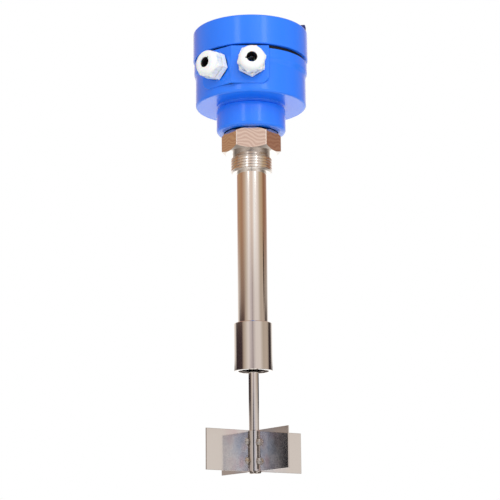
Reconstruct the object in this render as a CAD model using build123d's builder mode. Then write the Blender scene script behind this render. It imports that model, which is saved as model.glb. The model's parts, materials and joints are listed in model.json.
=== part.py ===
from build123d import *

import os
from math import atan2, asin, cos, degrees, hypot, radians, sin, tan

# Rotary paddle level switch, in millimetres.
# Origin: on the axis, where the full process thread begins. +Z runs up to the housing, the paddle
# hangs below, and -Y is the side of the cable glands.

os.makedirs("parts", exist_ok=True)


def keep(part, name):
    """Label a finished piece and write it as a STEP file."""
    part.label = name
    export_step(part, f"parts/{name}.step")


def polar(radius, azimuth, height=0.0):
    """A point at a radius and an azimuth in degrees about the axis."""
    return (radius * cos(radians(azimuth)), radius * sin(radians(azimuth)), height)


# Clearances
fit_gap = 0.05  # radial gap of a close fit
swing_gap = 0.1  # axial gap under a plate that swings
loose_gap = 0.3  # gap between pieces that only pass each other

# Process nipple
thread_diameter = 33.25
thread_length = 12.5
relief_diameter = 30.2
relief_length = 3.8
thread_chamfer = 1.2
hex_across_flats = 42.0
hex_height = 17.0
hex_corner_diameter = 48.2
hex_flat_chamfer = 0.8
hex_chamfer_angle = 30.0
nipple_shoulder_diameter = 41.0
spigot_diameter = 36.0
nipple_gasket_thickness = 1.5

# Neck ring and housing
neck_diameter = 56.2
neck_height = 19.8
neck_recess_diameter = 43.8
neck_recess_depth = 4.0
neck_bottom_round = 2.8
neck_hex_gap = 0.3
undercut_diameter = 54.4
undercut_height = 2.1
body_diameter = 90.0
body_height = 35.9
body_wall = 4.0
floor_thickness = 5.0
floor_bore_diameter = 18.0
body_bottom_round = 0.8
flange_diameter = 92.6
flange_height = 10.7
lid_thread_diameter = 75.0
lid_thread_height = 12.0

# Cable boss: two flat facets, one for each gland
left_gland_azimuth = 232.0
right_gland_azimuth = 271.4
left_gland_offset = 1.9
right_gland_offset = -0.4
facet_cut = 0.8
facet_distance = flange_diameter / 2 - facet_cut
facet_half_angle = 16.7
boss_bottom_rise = 6.2
boss_top_rise = 1.9
boss_corner_round = 7.0
boss_edge_round = 0.8
gland_rise = 22.5

# Cable glands
gland_thread_diameter = 18.6
gland_thread_length = 7.5
gland_across_flats = 20.4
gland_hex_height = 5.5
gland_washer_thickness = 0.8
gland_washer_diameter = 20.6
gland_bore_diameter = 11.2
gland_pad_diameter = 25.0
gland_neck_diameter = 17.2
gland_neck_height = 6.6
gland_nut_hex_height = 5.5
gland_nut_height = 9.8
gland_nut_dome_diameter = 20.8
gland_nut_dome_round = 4.0
gland_nut_hole_diameter = 8.4
gland_nut_wall = 1.4
gland_nut_cone_angle = 30.0
left_body_turn = 45.0
right_body_turn = 32.0
gland_seal_bore_diameter = 7.0
gland_seal_length = 7.0
left_nut_turn = 40.0
right_nut_turn = 12.0

# Lid
lid_gap = 3.1
lid_overhang = 0.7
lid_diameter = flange_diameter + 2 * lid_overhang
lid_height = 24.7
lid_roof = 4.0
lid_wall = 4.5
lid_spigot_length = 12.0
lid_spigot_wall = 3.2
lid_web = 3.5
lid_top_round = 2.0
lug_azimuth = -8.0
lug_height = 4.8
lug_inset = 1.0
lug_width = 6.6
lug_length = 9.0
lug_draft = 1.0
gasket_width = 6.8

# Tube, collar, bearings and shaft
tube_diameter = 24.0
tube_wall = 2.0
tube_exposed_length = 122.9
tube_socket_depth = 12.0
collar_diameter = 30.2
collar_length = 38.2
collar_top_chamfer = 1.0
shaft_diameter = 8.0
upper_bearing_diameter = 22.0
upper_bearing_width = 7.0
lower_bearing_diameter = 24.0
lower_bearing_width = 8.0
bearing_ring_wall = 2.4
bearing_shield_recess = 0.4
seal_width = 7.0
collar_recess = 4.0
clip_thickness = 1.2
clip_groove_depth = 0.6
clip_width = 2.0
clip_opening = 4.0
shaft_groove_depth = 0.8
shaft_clip_diameter = 13.0

# Paddle
shaft_exposed_length = 46.4
blade_height = 31.8
blade_reach = 45.0
blade_thickness = 1.2
blade_azimuths = {"back_right": 35.0, "back_left": 125.0, "front_left": 215.0, "front_right": 305.0}
hub_diameter = 11.0
hub_overhang = 0.6
shaft_stub = 1.2

# Mechanism base
standoff_height = 6.0
standoff_across_flats = 7.0
standoff_circle = 62.0
standoff_hole_wall = 1.0
standoff_azimuths = (30.0, 150.0, 270.0)
base_plate_diameter = 73.0
plate_thickness = 2.0
base_screw_diameter = 4.0
base_screw_head = 7.0
base_screw_head_height = 2.4
base_screw_reach = 4.0
neck_screw_diameter = 5.0
neck_screw_head = 8.5
neck_screw_head_height = 3.0
neck_screw_key = 4.6
neck_screw_circle = 45.5
neck_screw_length = 17.0
neck_screw_azimuths = (45.0, 135.0, 225.0, 315.0)

# Swinging motor plate
bush_diameter = 26.0
bush_bore_diameter = 21.0
bush_height = 17.0
bush_spigot_diameter = 24.0
washer_thickness = 0.9
washer_diameter = 32.0
swing_plate_diameter = 67.0
swing_notch_side = -26.0
swing_notch_margin = 1.0
swing_range = 8.0
motor_diameter = 49.0
motor_height = 19.0
motor_ear_circle = 57.0
motor_ear_azimuths = (45.0, 225.0)
motor_ear_radius = 4.2
motor_ear_thickness = 1.2
motor_edge_round = 1.5
motor_screw_diameter = 3.0
motor_screw_head = 6.0
motor_screw_head_height = 2.1
motor_nut_across_flats = 5.4
motor_nut_height = 2.4
motor_screw_end = 0.6
motor_shaft_diameter = 7.0
motor_shaft_length = 9.0
coupling_diameter = 18.0
coupling_length = 14.0
coupling_shaft_grip = 7.0
grub_diameter = 4.0
grub_length = 4.0
pin_circle = 60.0
pin_diameter = 3.0
actuator_azimuth = 90.0
stop_azimuth = 300.0

# Return spring
spring_coil_diameter = 4.4
spring_wire = 0.6
spring_turns = 8
spring_body_length = 12.6
spring_offset = 24.0
spring_post_spacing = 20.0
spring_drop = 3.4
post_diameter = 2.6
post_flange_diameter = 4.0
post_flange_drop = 0.9

# Microswitches
switch_length = 20.0
switch_depth = 10.0
switch_thickness = 6.4
switch_side = -7.0
switch_near_end = 12.0
switch_sheet = 0.4
switch_hole_diameter = 2.2
switch_hole_spacing = 9.5
switch_hole_inset = 1.8
switch_screw_head = 4.0
switch_screw_head_height = 1.3
switch_tabs = 3
switch_tab_width = 3.2
switch_tab_thickness = 0.5
switch_tab_length = 3.0
lever_pivot_inset = 1.5
lever_pivot_offset = 1.2
lever_thickness = 0.3
lever_length = 18.6
lever_width = 4.0
lever_pin_diameter = 1.0
plunger_diameter = 1.6
plunger_height = 0.2

# Terminals
terminal_ways = 5
terminal_pitch = 5.08
terminal_depth = 10.0
terminal_height = 10.5
terminal_inner_side = -22.0
terminal_middle = -3.0
terminal_screw_diameter = 3.0
terminal_end_wall = 1.5
terminal_way_wall = 0.8
screw_slot_width = 0.6
screw_slot_depth = 0.8
earth_screw_azimuth = 345.0
earth_screw_circle = 62.0
earth_washer_diameter = 9.6
earth_washer_thickness = 0.8

# Heights along the axis, from the thread start
hex_bottom = relief_length
hex_top = hex_bottom + hex_height
neck_bottom = hex_top + neck_hex_gap
neck_top = neck_bottom + neck_height
recess_top = neck_bottom + neck_recess_depth
shoulder_top = recess_top - nipple_gasket_thickness
body_bottom = neck_top + undercut_height
body_top = body_bottom + body_height
floor_top = body_bottom + floor_thickness
lid_bottom = body_top + lid_gap
lid_top = lid_bottom + lid_height
gland_height = body_bottom + gland_rise
nipple_bottom = -thread_length
collar_top = nipple_bottom - tube_exposed_length
collar_bottom = collar_top - collar_length
blade_top = collar_bottom - shaft_exposed_length
blade_bottom = blade_top - blade_height
hub_bottom = blade_bottom - hub_overhang
shaft_bottom = hub_bottom - shaft_stub
plate_bottom = floor_top + standoff_height
plate_top = plate_bottom + plate_thickness
bush_top = plate_top + bush_height
swing_bottom = bush_top + washer_thickness + swing_gap
swing_top = swing_bottom + plate_thickness
coupling_top = swing_bottom - 2 * loose_gap
coupling_bottom = coupling_top - coupling_length
shaft_top = coupling_bottom + coupling_shaft_grip

thread_radius = thread_diameter / 2
tube_bore_diameter = tube_diameter - 2 * tube_wall
gasket_outer = lid_thread_diameter + 2 * (gasket_width + loose_gap)

# Process nipple: one turned bar, with a hexagon whose corners are cut by a cone at both ends
cone_reach = (hex_corner_diameter - hex_across_flats) / 2 * tan(radians(hex_chamfer_angle))
with BuildPart() as hex_nipple:
    with BuildSketch(Plane.XY.offset(hex_bottom)):
        RegularPolygon(hex_across_flats / 2, 6, major_radius=False)
    extrude(amount=hex_height)
    with BuildSketch(Plane.XZ):
        with BuildLine():
            Polyline(
                (0, hex_bottom),
                (hex_across_flats / 2 - hex_flat_chamfer / tan(radians(hex_chamfer_angle)), hex_bottom),
                (hex_corner_diameter / 2, hex_bottom + hex_flat_chamfer + cone_reach),
                (hex_corner_diameter / 2, hex_top - hex_flat_chamfer - cone_reach),
                (hex_across_flats / 2 - hex_flat_chamfer / tan(radians(hex_chamfer_angle)), hex_top),
                (0, hex_top),
                close=True,
            )
        make_face()
    revolve(axis=Axis.Z, mode=Mode.INTERSECT)
    with BuildSketch(Plane.XZ):
        with BuildLine():
            Polyline(
                (0, nipple_bottom),
                (thread_radius - thread_chamfer, nipple_bottom),
                (thread_radius, nipple_bottom + thread_chamfer),
                (thread_radius, 0),
                (relief_diameter / 2, 0),
                (relief_diameter / 2, hex_bottom),
                (0, hex_bottom),
                close=True,
            )
        make_face()
    revolve(axis=Axis.Z)
    with BuildSketch(Plane.XY.offset(hex_top)):
        Circle(nipple_shoulder_diameter / 2)
    extrude(amount=shoulder_top - hex_top)
    with BuildSketch(Plane.XY.offset(shoulder_top)):
        Circle(spigot_diameter / 2 - fit_gap)
    extrude(amount=neck_top - shoulder_top)
    with BuildSketch(Plane.XY.offset(nipple_bottom)):
        Circle(tube_bore_diameter / 2)
    extrude(amount=neck_top - nipple_bottom, mode=Mode.SUBTRACT)
    with BuildSketch(Plane.XY.offset(nipple_bottom)):
        Circle(tube_diameter / 2 + fit_gap)
    extrude(amount=tube_socket_depth, mode=Mode.SUBTRACT)
    with BuildSketch(Plane.XY.offset(neck_top)):
        Circle(upper_bearing_diameter / 2 + fit_gap)
    extrude(amount=-upper_bearing_width, mode=Mode.SUBTRACT)
keep(hex_nipple.part, "hex_nipple")

# Flat gasket between the nipple's shoulder and the neck ring
with BuildPart() as nipple_gasket:
    with BuildSketch(Plane.XY.offset(recess_top)):
        Circle(nipple_shoulder_diameter / 2)
        Circle(spigot_diameter / 2 + fit_gap, mode=Mode.SUBTRACT)
    extrude(amount=shoulder_top - recess_top)
keep(nipple_gasket.part, "nipple_gasket")

# Neck ring: turned ring that joins the nipple to the housing
with BuildPart() as neck_ring:
    with BuildSketch(Plane.XY.offset(neck_bottom)):
        Circle(neck_diameter / 2)
    extrude(amount=neck_height)
    fillet(neck_ring.edges().group_by(Axis.Z)[0], radius=neck_bottom_round)
    with BuildSketch(Plane.XY.offset(neck_bottom)):
        Circle(neck_recess_diameter / 2)
    extrude(amount=neck_recess_depth, mode=Mode.SUBTRACT)
    with BuildSketch(Plane.XY.offset(neck_top)):
        Circle(spigot_diameter / 2)
    extrude(amount=-neck_height, mode=Mode.SUBTRACT)
    with Locations(*[polar(neck_screw_circle / 2, a, neck_top) for a in neck_screw_azimuths]):
        Hole(
            neck_screw_diameter / 2 + fit_gap,
            depth=neck_screw_length - floor_thickness - undercut_height + loose_gap,
        )
keep(neck_ring.part, "neck_ring")

# Cable boss: a block with one flat facet for each gland, cast in one with the housing
boss_azimuth = (left_gland_azimuth + right_gland_azimuth) / 2
boss_bottom = body_bottom + boss_bottom_rise
boss_top = body_top + boss_top_rise
body_bore_radius = body_diameter / 2 - body_wall
ridge_radius = facet_distance / cos(radians((right_gland_azimuth - left_gland_azimuth) / 2))
side_radius = facet_distance / cos(radians(facet_half_angle))
with BuildPart() as cable_boss:
    with BuildSketch(Plane.XY.offset(boss_bottom)):
        with BuildLine():
            Polyline(
                polar(body_bore_radius, left_gland_azimuth - facet_half_angle)[:2],
                polar(side_radius, left_gland_azimuth - facet_half_angle)[:2],
                polar(ridge_radius, boss_azimuth)[:2],
                polar(side_radius, right_gland_azimuth + facet_half_angle)[:2],
                polar(body_bore_radius, right_gland_azimuth + facet_half_angle)[:2],
                close=True,
            )
        make_face()
    extrude(amount=boss_top - boss_bottom)
    side_faces = cable_boss.faces().filter_by(Axis.Z, reverse=True).sort_by(Face.area)[:2]
    lower_corners = [face.edges().sort_by(Axis.Z)[0] for face in side_faces]
    fillet(lower_corners, radius=boss_corner_round)
    outer_faces = cable_boss.faces().filter_by(Axis.Z, reverse=True).sort_by(Face.area)[-2:]
    fillet(outer_faces.edges(), radius=boss_edge_round)

# Housing body: a cast pot with a flange, a threaded mouth and the boss with its two gland holes
def facet_plane(azimuth, offset):
    """The plane of a facet, with its middle on the gland's axis, x along the facet and y up."""
    along = Vector(polar(1, azimuth + 90))
    return Plane(
        origin=Vector(polar(facet_distance, azimuth, gland_height)) + along * offset,
        x_dir=along,
        z_dir=polar(1, azimuth),
    )


facets = {
    "left": facet_plane(left_gland_azimuth, left_gland_offset),
    "right": facet_plane(right_gland_azimuth, right_gland_offset),
}
with BuildPart() as housing_body:
    with BuildSketch(Plane.XY.offset(body_bottom)):
        Circle(body_diameter / 2)
    extrude(amount=body_height)
    fillet(housing_body.edges().sort_by(Axis.Z)[0], radius=body_bottom_round)
    with BuildSketch(Plane.XY.offset(neck_top)):
        Circle(undercut_diameter / 2)
    extrude(amount=undercut_height)
    with BuildSketch(Plane.XY.offset(body_top)):
        Circle(flange_diameter / 2)
    extrude(amount=-flange_height)
    add(cable_boss.part)
    with BuildSketch(Plane.XY.offset(floor_top)):
        Circle(body_bore_radius)
    extrude(amount=body_height - floor_thickness - lid_thread_height, mode=Mode.SUBTRACT)
    with BuildSketch(Plane.XY.offset(body_top)):
        Circle(lid_thread_diameter / 2)
    extrude(amount=-lid_thread_height, mode=Mode.SUBTRACT)
    with BuildSketch(Plane.XY.offset(body_top)):
        Circle(gasket_outer / 2)
    extrude(amount=boss_top_rise, mode=Mode.SUBTRACT)
    with BuildSketch(Plane.XY.offset(neck_top)):
        Circle(floor_bore_diameter / 2)
    extrude(amount=floor_top - neck_top, mode=Mode.SUBTRACT)
    for facet in facets.values():
        with BuildSketch(facet):
            Rectangle(gland_pad_diameter, 2 * gland_pad_diameter)
        extrude(amount=flange_diameter / 2 - facet_distance, mode=Mode.SUBTRACT)
        with BuildSketch(facet):
            Circle(gland_pad_diameter / 2)
        extrude(amount=-gland_thread_length)
    for facet in facets.values():
        with BuildSketch(facet):
            Circle(gland_thread_diameter / 2)
        extrude(amount=-2 * gland_thread_length, mode=Mode.SUBTRACT)
    with Locations(*[polar(neck_screw_circle / 2, a, floor_top) for a in neck_screw_azimuths]):
        Hole(neck_screw_diameter / 2 + fit_gap, depth=floor_top - neck_top)
    with Locations(*[polar(standoff_circle / 2, a, floor_top) for a in standoff_azimuths]):
        Hole(base_screw_diameter / 2 + fit_gap, depth=floor_thickness - standoff_hole_wall)
keep(housing_body.part, "housing_body")

# Screws that hold the neck ring from inside the housing
with BuildPart() as neck_screws:
    for azimuth in neck_screw_azimuths:
        with BuildSketch(Plane(polar(neck_screw_circle / 2, azimuth, floor_top))):
            Circle(neck_screw_head / 2)
        extrude(amount=neck_screw_head_height)
        with BuildSketch(Plane(polar(neck_screw_circle / 2, azimuth, floor_top))):
            Circle(neck_screw_diameter / 2)
        extrude(amount=-neck_screw_length)
        with BuildSketch(Plane(polar(neck_screw_circle / 2, azimuth, floor_top + neck_screw_head_height))):
            RegularPolygon(neck_screw_key / 2, 6)
        extrude(amount=-neck_screw_head_height / 2, mode=Mode.SUBTRACT)
keep(neck_screws.part, "neck_screws")

# Lid gasket: flat ring between the housing's mouth and the lid's rim
with BuildPart() as lid_gasket:
    with BuildSketch(Plane.XY.offset(body_top + fit_gap)):
        Circle(gasket_outer / 2 - loose_gap)
        Circle(lid_thread_diameter / 2 + loose_gap, mode=Mode.SUBTRACT)
    extrude(amount=lid_gap - 2 * fit_gap)
keep(lid_gasket.part, "lid_gasket")

# Housing lid: a cast cap with a threaded spigot and two lugs to turn it by
spigot_outer = lid_thread_diameter / 2 - fit_gap
spigot_inner = spigot_outer - lid_spigot_wall
with BuildPart() as housing_lid:
    with BuildSketch(Plane.XZ):
        with BuildLine():
            Polyline(
                (0, lid_top),
                (lid_diameter / 2, lid_top),
                (lid_diameter / 2, lid_bottom),
                (spigot_outer, lid_bottom),
                (spigot_outer, lid_bottom - lid_spigot_length),
                (spigot_inner, lid_bottom - lid_spigot_length),
                (spigot_inner, lid_bottom + lid_web),
                (lid_diameter / 2 - lid_wall, lid_bottom + lid_web),
                (lid_diameter / 2 - lid_wall, lid_top - lid_roof),
                (0, lid_top - lid_roof),
                close=True,
            )
        make_face()
    revolve(axis=Axis.Z)
    fillet(housing_lid.edges().sort_by(Axis.Z)[-1], radius=lid_top_round)
    for azimuth in (lug_azimuth, lug_azimuth + 180):
        lug_side = Plane(
            origin=(0, 0, lid_top),
            x_dir=polar(1, azimuth),
            z_dir=polar(1, azimuth - 90),
        )
        with BuildSketch(lug_side):
            with BuildLine():
                Polyline(
                    (lid_diameter / 2 - lug_length, -lid_roof / 2),
                    (lid_diameter / 2 - lug_inset, -lid_roof / 2),
                    (lid_diameter / 2 - lug_inset, 0),
                    (lid_diameter / 2 - lug_inset - lug_draft, lug_height),
                    (lid_diameter / 2 - lug_length + lug_draft, lug_height),
                    (lid_diameter / 2 - lug_length, 0),
                    close=True,
                )
            make_face()
        extrude(amount=lug_width / 2, both=True)
keep(housing_lid.part, "housing_lid")

# Cable glands: sealing washer, body, rubber seal and domed nut, each built out from its facet
body_turns = {"left": left_body_turn, "right": right_body_turn}
nut_turns = {"left": left_nut_turn, "right": right_nut_turn}
gland_hex_top = gland_washer_thickness + gland_hex_height
gland_neck_top = gland_hex_top + gland_neck_height
nut_bottom = gland_hex_top + loose_gap
nut_bore_radius = gland_neck_diameter / 2 + fit_gap
seal_radius = gland_bore_diameter / 2 + gland_nut_wall - fit_gap
seal_start = gland_neck_top + gland_nut_wall - gland_seal_length
for side, facet in facets.items():
    with BuildPart() as gland_washer:
        with BuildSketch(facet):
            Circle(gland_washer_diameter / 2)
            Circle(gland_thread_diameter / 2 + fit_gap, mode=Mode.SUBTRACT)
        extrude(amount=gland_washer_thickness)
    keep(gland_washer.part, f"{side}_gland_washer")

    with BuildPart() as gland_body:
        with BuildSketch(facet.offset(gland_washer_thickness)):
            RegularPolygon(gland_across_flats / 2, 6, major_radius=False, rotation=body_turns[side])
        extrude(amount=gland_hex_height)
        with BuildSketch(facet.offset(gland_washer_thickness)):
            Circle(gland_thread_diameter / 2 - fit_gap)
        extrude(amount=-gland_washer_thickness - gland_thread_length)
        with BuildSketch(facet.offset(gland_hex_top)):
            Circle(gland_neck_diameter / 2)
        extrude(amount=gland_neck_height)
        with BuildSketch(facet.offset(-gland_thread_length)):
            Circle(gland_bore_diameter / 2)
        extrude(amount=gland_thread_length + gland_neck_top, mode=Mode.SUBTRACT)
        with BuildSketch(facet.offset(seal_start)):
            Circle(seal_radius + fit_gap)
        extrude(amount=gland_neck_top - seal_start, mode=Mode.SUBTRACT)
    keep(gland_body.part, f"{side}_gland_body")

    with BuildPart() as gland_seal:
        with BuildSketch(facet.offset(seal_start)):
            Circle(seal_radius)
            Circle(gland_seal_bore_diameter / 2, mode=Mode.SUBTRACT)
        extrude(amount=gland_seal_length)
    keep(gland_seal.part, f"{side}_gland_seal")

    with BuildPart() as gland_nut:
        with BuildSketch(facet.offset(nut_bottom)):
            RegularPolygon(gland_across_flats / 2, 6, major_radius=False, rotation=nut_turns[side])
        extrude(amount=gland_nut_hex_height)
        with BuildSketch(facet.offset(nut_bottom)):
            Circle(gland_nut_dome_diameter / 2)
        extrude(amount=gland_nut_height)
        front_rim = gland_nut.faces().sort_by(lambda f: facet.to_local_coords(f.center()).Z)[-1]
        fillet(front_rim.edges(), radius=gland_nut_dome_round)
        with BuildSketch(facet.offset(nut_bottom)):
            Circle(nut_bore_radius)
        extrude(amount=gland_neck_top + loose_gap - nut_bottom, mode=Mode.SUBTRACT)
        with BuildSketch(facet.offset(gland_neck_top + loose_gap)):
            Circle(nut_bore_radius)
        extrude(
            amount=nut_bottom + gland_nut_height - gland_nut_wall - gland_neck_top - loose_gap,
            taper=gland_nut_cone_angle,
            mode=Mode.SUBTRACT,
        )
        with BuildSketch(facet.offset(nut_bottom)):
            Circle(gland_nut_hole_diameter / 2)
        extrude(amount=gland_nut_height, mode=Mode.SUBTRACT)
    keep(gland_nut.part, f"{side}_gland_nut")

# Extension tube, welded into the nipple and into the collar
tube_top = nipple_bottom + tube_socket_depth
tube_bottom = collar_top - tube_socket_depth
with BuildPart() as extension_tube:
    with BuildSketch(Plane.XY.offset(tube_bottom)):
        Circle(tube_diameter / 2)
        Circle(tube_bore_diameter / 2, mode=Mode.SUBTRACT)
    extrude(amount=tube_top - tube_bottom)
keep(extension_tube.part, "extension_tube")

# Collar: holds the lower bearing and the shaft seal, and is open below
clip_bottom = collar_bottom + collar_recess
seal_bottom = clip_bottom + clip_thickness
seal_top = seal_bottom + seal_width
lower_bearing_top = seal_top + lower_bearing_width
seat_radius = lower_bearing_diameter / 2 + fit_gap
with BuildPart() as bearing_collar:
    with BuildSketch(Plane.XY.offset(collar_bottom)):
        Circle(collar_diameter / 2)
    extrude(amount=collar_length)
    chamfer(bearing_collar.edges().sort_by(Axis.Z)[-1], length=collar_top_chamfer)
    with BuildSketch(Plane.XY.offset(collar_bottom)):
        Circle(seat_radius)
    extrude(amount=lower_bearing_top - collar_bottom, mode=Mode.SUBTRACT)
    with BuildSketch(Plane.XY.offset(collar_top)):
        Circle(tube_diameter / 2 + fit_gap)
    extrude(amount=-tube_socket_depth, mode=Mode.SUBTRACT)
    with BuildSketch(Plane.XY.offset(lower_bearing_top)):
        Circle(tube_bore_diameter / 2)
    extrude(amount=tube_bottom - lower_bearing_top, mode=Mode.SUBTRACT)
    with BuildSketch(Plane.XY.offset(clip_bottom)):
        Circle(seat_radius + clip_groove_depth)
    extrude(amount=clip_thickness, mode=Mode.SUBTRACT)
keep(bearing_collar.part, "bearing_collar")

# Internal retaining ring under the shaft seal, open on one side
with BuildPart() as retaining_ring:
    with BuildSketch(Plane.XY.offset(clip_bottom)):
        Circle(seat_radius + clip_groove_depth - fit_gap)
        Circle(seat_radius - clip_width, mode=Mode.SUBTRACT)
        with Locations((0, seat_radius)):
            Rectangle(clip_opening, 3 * clip_width, mode=Mode.SUBTRACT)
    extrude(amount=clip_thickness)
keep(retaining_ring.part, "retaining_ring")

# Shaft seal: rubber ring with a lip on the shaft, dished below
shaft_radius = shaft_diameter / 2
with BuildPart() as shaft_seal:
    with BuildSketch(Plane.XZ):
        with BuildLine():
            Polyline(
                (shaft_radius + fit_gap, seal_top),
                (lower_bearing_diameter / 2, seal_top),
                (lower_bearing_diameter / 2, seal_bottom),
                (lower_bearing_diameter / 2 - clip_width, seal_bottom),
                (lower_bearing_diameter / 2 - clip_width, seal_bottom + seal_width / 2),
                (shaft_radius + clip_width, seal_bottom + seal_width / 2),
                (shaft_radius + fit_gap, seal_bottom + clip_thickness),
                close=True,
            )
        make_face()
    revolve(axis=Axis.Z)
keep(shaft_seal.part, "shaft_seal")

# Ball bearings: a standing ring with its shields, and a ring that turns with the shaft
bearings = {
    "upper": (neck_top, upper_bearing_width, upper_bearing_diameter),
    "lower": (lower_bearing_top, lower_bearing_width, lower_bearing_diameter),
}
inner_ring_radius = shaft_radius + bearing_ring_wall
for place, (top, width, diameter) in bearings.items():
    shield_z = bearing_shield_recess
    with BuildPart() as outer_ring:
        with BuildSketch(Plane.XZ):
            with BuildLine():
                Polyline(
                    (diameter / 2, top),
                    (diameter / 2, top - width),
                    (diameter / 2 - bearing_ring_wall, top - width),
                    (diameter / 2 - bearing_ring_wall, top - width + shield_z),
                    (inner_ring_radius + loose_gap, top - width + shield_z),
                    (inner_ring_radius + loose_gap, top - width + 2 * shield_z),
                    (diameter / 2 - bearing_ring_wall, top - width + 2 * shield_z),
                    (diameter / 2 - bearing_ring_wall, top - 2 * shield_z),
                    (inner_ring_radius + loose_gap, top - 2 * shield_z),
                    (inner_ring_radius + loose_gap, top - shield_z),
                    (diameter / 2 - bearing_ring_wall, top - shield_z),
                    (diameter / 2 - bearing_ring_wall, top),
                    close=True,
                )
            make_face()
        revolve(axis=Axis.Z)
    keep(outer_ring.part, f"{place}_bearing_outer_ring")

    with BuildPart() as inner_ring:
        with BuildSketch(Plane.XY.offset(top - width)):
            Circle(inner_ring_radius)
            Circle(shaft_radius + fit_gap, mode=Mode.SUBTRACT)
        extrude(amount=width)
    keep(inner_ring.part, f"{place}_bearing_inner_ring")

# Drive shaft, with a groove for its clip
shaft_clip_bottom = neck_top + fit_gap
with BuildPart() as drive_shaft:
    with BuildSketch(Plane.XY.offset(shaft_bottom)):
        Circle(shaft_radius)
    extrude(amount=shaft_top - shaft_bottom)
    with BuildSketch(Plane.XY.offset(shaft_clip_bottom)):
        Circle(shaft_radius)
        Circle(shaft_radius - shaft_groove_depth, mode=Mode.SUBTRACT)
    extrude(amount=clip_thickness, mode=Mode.SUBTRACT)
keep(drive_shaft.part, "drive_shaft")

with BuildPart() as shaft_clip:
    with BuildSketch(Plane.XY.offset(shaft_clip_bottom)):
        Circle(shaft_clip_diameter / 2)
        Circle(shaft_radius - shaft_groove_depth + fit_gap, mode=Mode.SUBTRACT)
        with Locations((0, shaft_clip_diameter / 2)):
            Rectangle(shaft_diameter - 2 * shaft_groove_depth, shaft_clip_diameter, mode=Mode.SUBTRACT)
    extrude(amount=clip_thickness)
keep(shaft_clip.part, "shaft_clip")

# Paddle: a hub on the shaft's end, with four flat blades welded to it
hub_radius = hub_diameter / 2
with BuildPart() as paddle_hub:
    with BuildSketch(Plane.XY.offset(hub_bottom)):
        Circle(hub_radius)
        Circle(shaft_radius + fit_gap, mode=Mode.SUBTRACT)
    extrude(amount=blade_top - hub_bottom)
keep(paddle_hub.part, "paddle_hub")

for place, azimuth in blade_azimuths.items():
    with BuildPart() as blade:
        with BuildSketch(Plane(origin=(0, 0, blade_bottom), x_dir=polar(1, azimuth))):
            with Locations((blade_reach / 2, 0)):
                Rectangle(blade_reach, blade_thickness)
            Circle(hub_radius, mode=Mode.SUBTRACT)
        extrude(amount=blade_height)
    keep(blade.part, f"{place}_blade")

# Standoffs, base plate and its screws
with BuildPart() as standoffs:
    for azimuth in standoff_azimuths:
        with BuildSketch(Plane(polar(standoff_circle / 2, azimuth, floor_top))):
            RegularPolygon(standoff_across_flats / 2, 6, major_radius=False)
        extrude(amount=standoff_height)
        with BuildSketch(Plane(polar(standoff_circle / 2, azimuth, floor_top))):
            Circle(base_screw_diameter / 2)
        extrude(amount=-floor_thickness + standoff_hole_wall + loose_gap)
        with BuildSketch(Plane(polar(standoff_circle / 2, azimuth, plate_bottom))):
            Circle(base_screw_diameter / 2 + fit_gap)
        extrude(amount=-base_screw_reach - loose_gap, mode=Mode.SUBTRACT)
keep(standoffs.part, "standoffs")

pin_radius = pin_diameter / 2
switch_middle = switch_near_end + switch_length / 2
switch_hole_x = switch_side - switch_depth + switch_hole_diameter / 2 + switch_hole_inset
switch_holes = [
    (switch_hole_x, switch_middle - switch_hole_spacing / 2),
    (switch_hole_x, switch_middle + switch_hole_spacing / 2),
]
fixed_post = (spring_offset, -spring_post_spacing)
moving_post = (spring_offset, 0.0)
with BuildPart() as base_plate:
    with BuildSketch(Plane.XY.offset(plate_bottom)):
        Circle(base_plate_diameter / 2)
        Circle(bush_spigot_diameter / 2, mode=Mode.SUBTRACT)
        with Locations(*[polar(standoff_circle / 2, a)[:2] for a in standoff_azimuths]):
            Circle(base_screw_diameter / 2 + fit_gap, mode=Mode.SUBTRACT)
        with Locations(polar(pin_circle / 2, stop_azimuth)[:2]):
            Circle(pin_radius + fit_gap, mode=Mode.SUBTRACT)
        with Locations(polar(earth_screw_circle / 2, earth_screw_azimuth)[:2]):
            Circle(base_screw_diameter / 2 + fit_gap, mode=Mode.SUBTRACT)
        with Locations(fixed_post):
            Circle(post_diameter / 2 + fit_gap, mode=Mode.SUBTRACT)
        with Locations(*switch_holes):
            Circle(switch_hole_diameter / 2, mode=Mode.SUBTRACT)
    extrude(amount=plate_thickness)
keep(base_plate.part, "base_plate")

with BuildPart() as base_screws:
    for azimuth in standoff_azimuths:
        with BuildSketch(Plane(polar(standoff_circle / 2, azimuth, plate_top))):
            Circle(base_screw_head / 2)
        extrude(amount=base_screw_head_height)
        with BuildSketch(Plane(polar(standoff_circle / 2, azimuth, plate_top))):
            Circle(base_screw_diameter / 2)
        extrude(amount=-plate_thickness - base_screw_reach)
        with BuildSketch(Plane(polar(standoff_circle / 2, azimuth, plate_top + base_screw_head_height))):
            Rectangle(base_screw_head, base_screw_diameter / 4)
        extrude(amount=-base_screw_head_height / 2, mode=Mode.SUBTRACT)
keep(base_screws.part, "base_screws")

# Pivot bush: the motor plate swings on its upper spigot
pivot_radius = (bush_diameter + bush_bore_diameter) / 4
with BuildPart() as pivot_bush:
    with BuildSketch(Plane.XZ):
        with BuildLine():
            Polyline(
                (bush_bore_diameter / 2, plate_bottom),
                (bush_spigot_diameter / 2 - fit_gap, plate_bottom),
                (bush_spigot_diameter / 2 - fit_gap, plate_top),
                (bush_diameter / 2, plate_top),
                (bush_diameter / 2, bush_top),
                (pivot_radius, bush_top),
                (pivot_radius, swing_top - loose_gap),
                (bush_bore_diameter / 2, swing_top - loose_gap),
                close=True,
            )
        make_face()
    revolve(axis=Axis.Z)
keep(pivot_bush.part, "pivot_bush")

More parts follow.
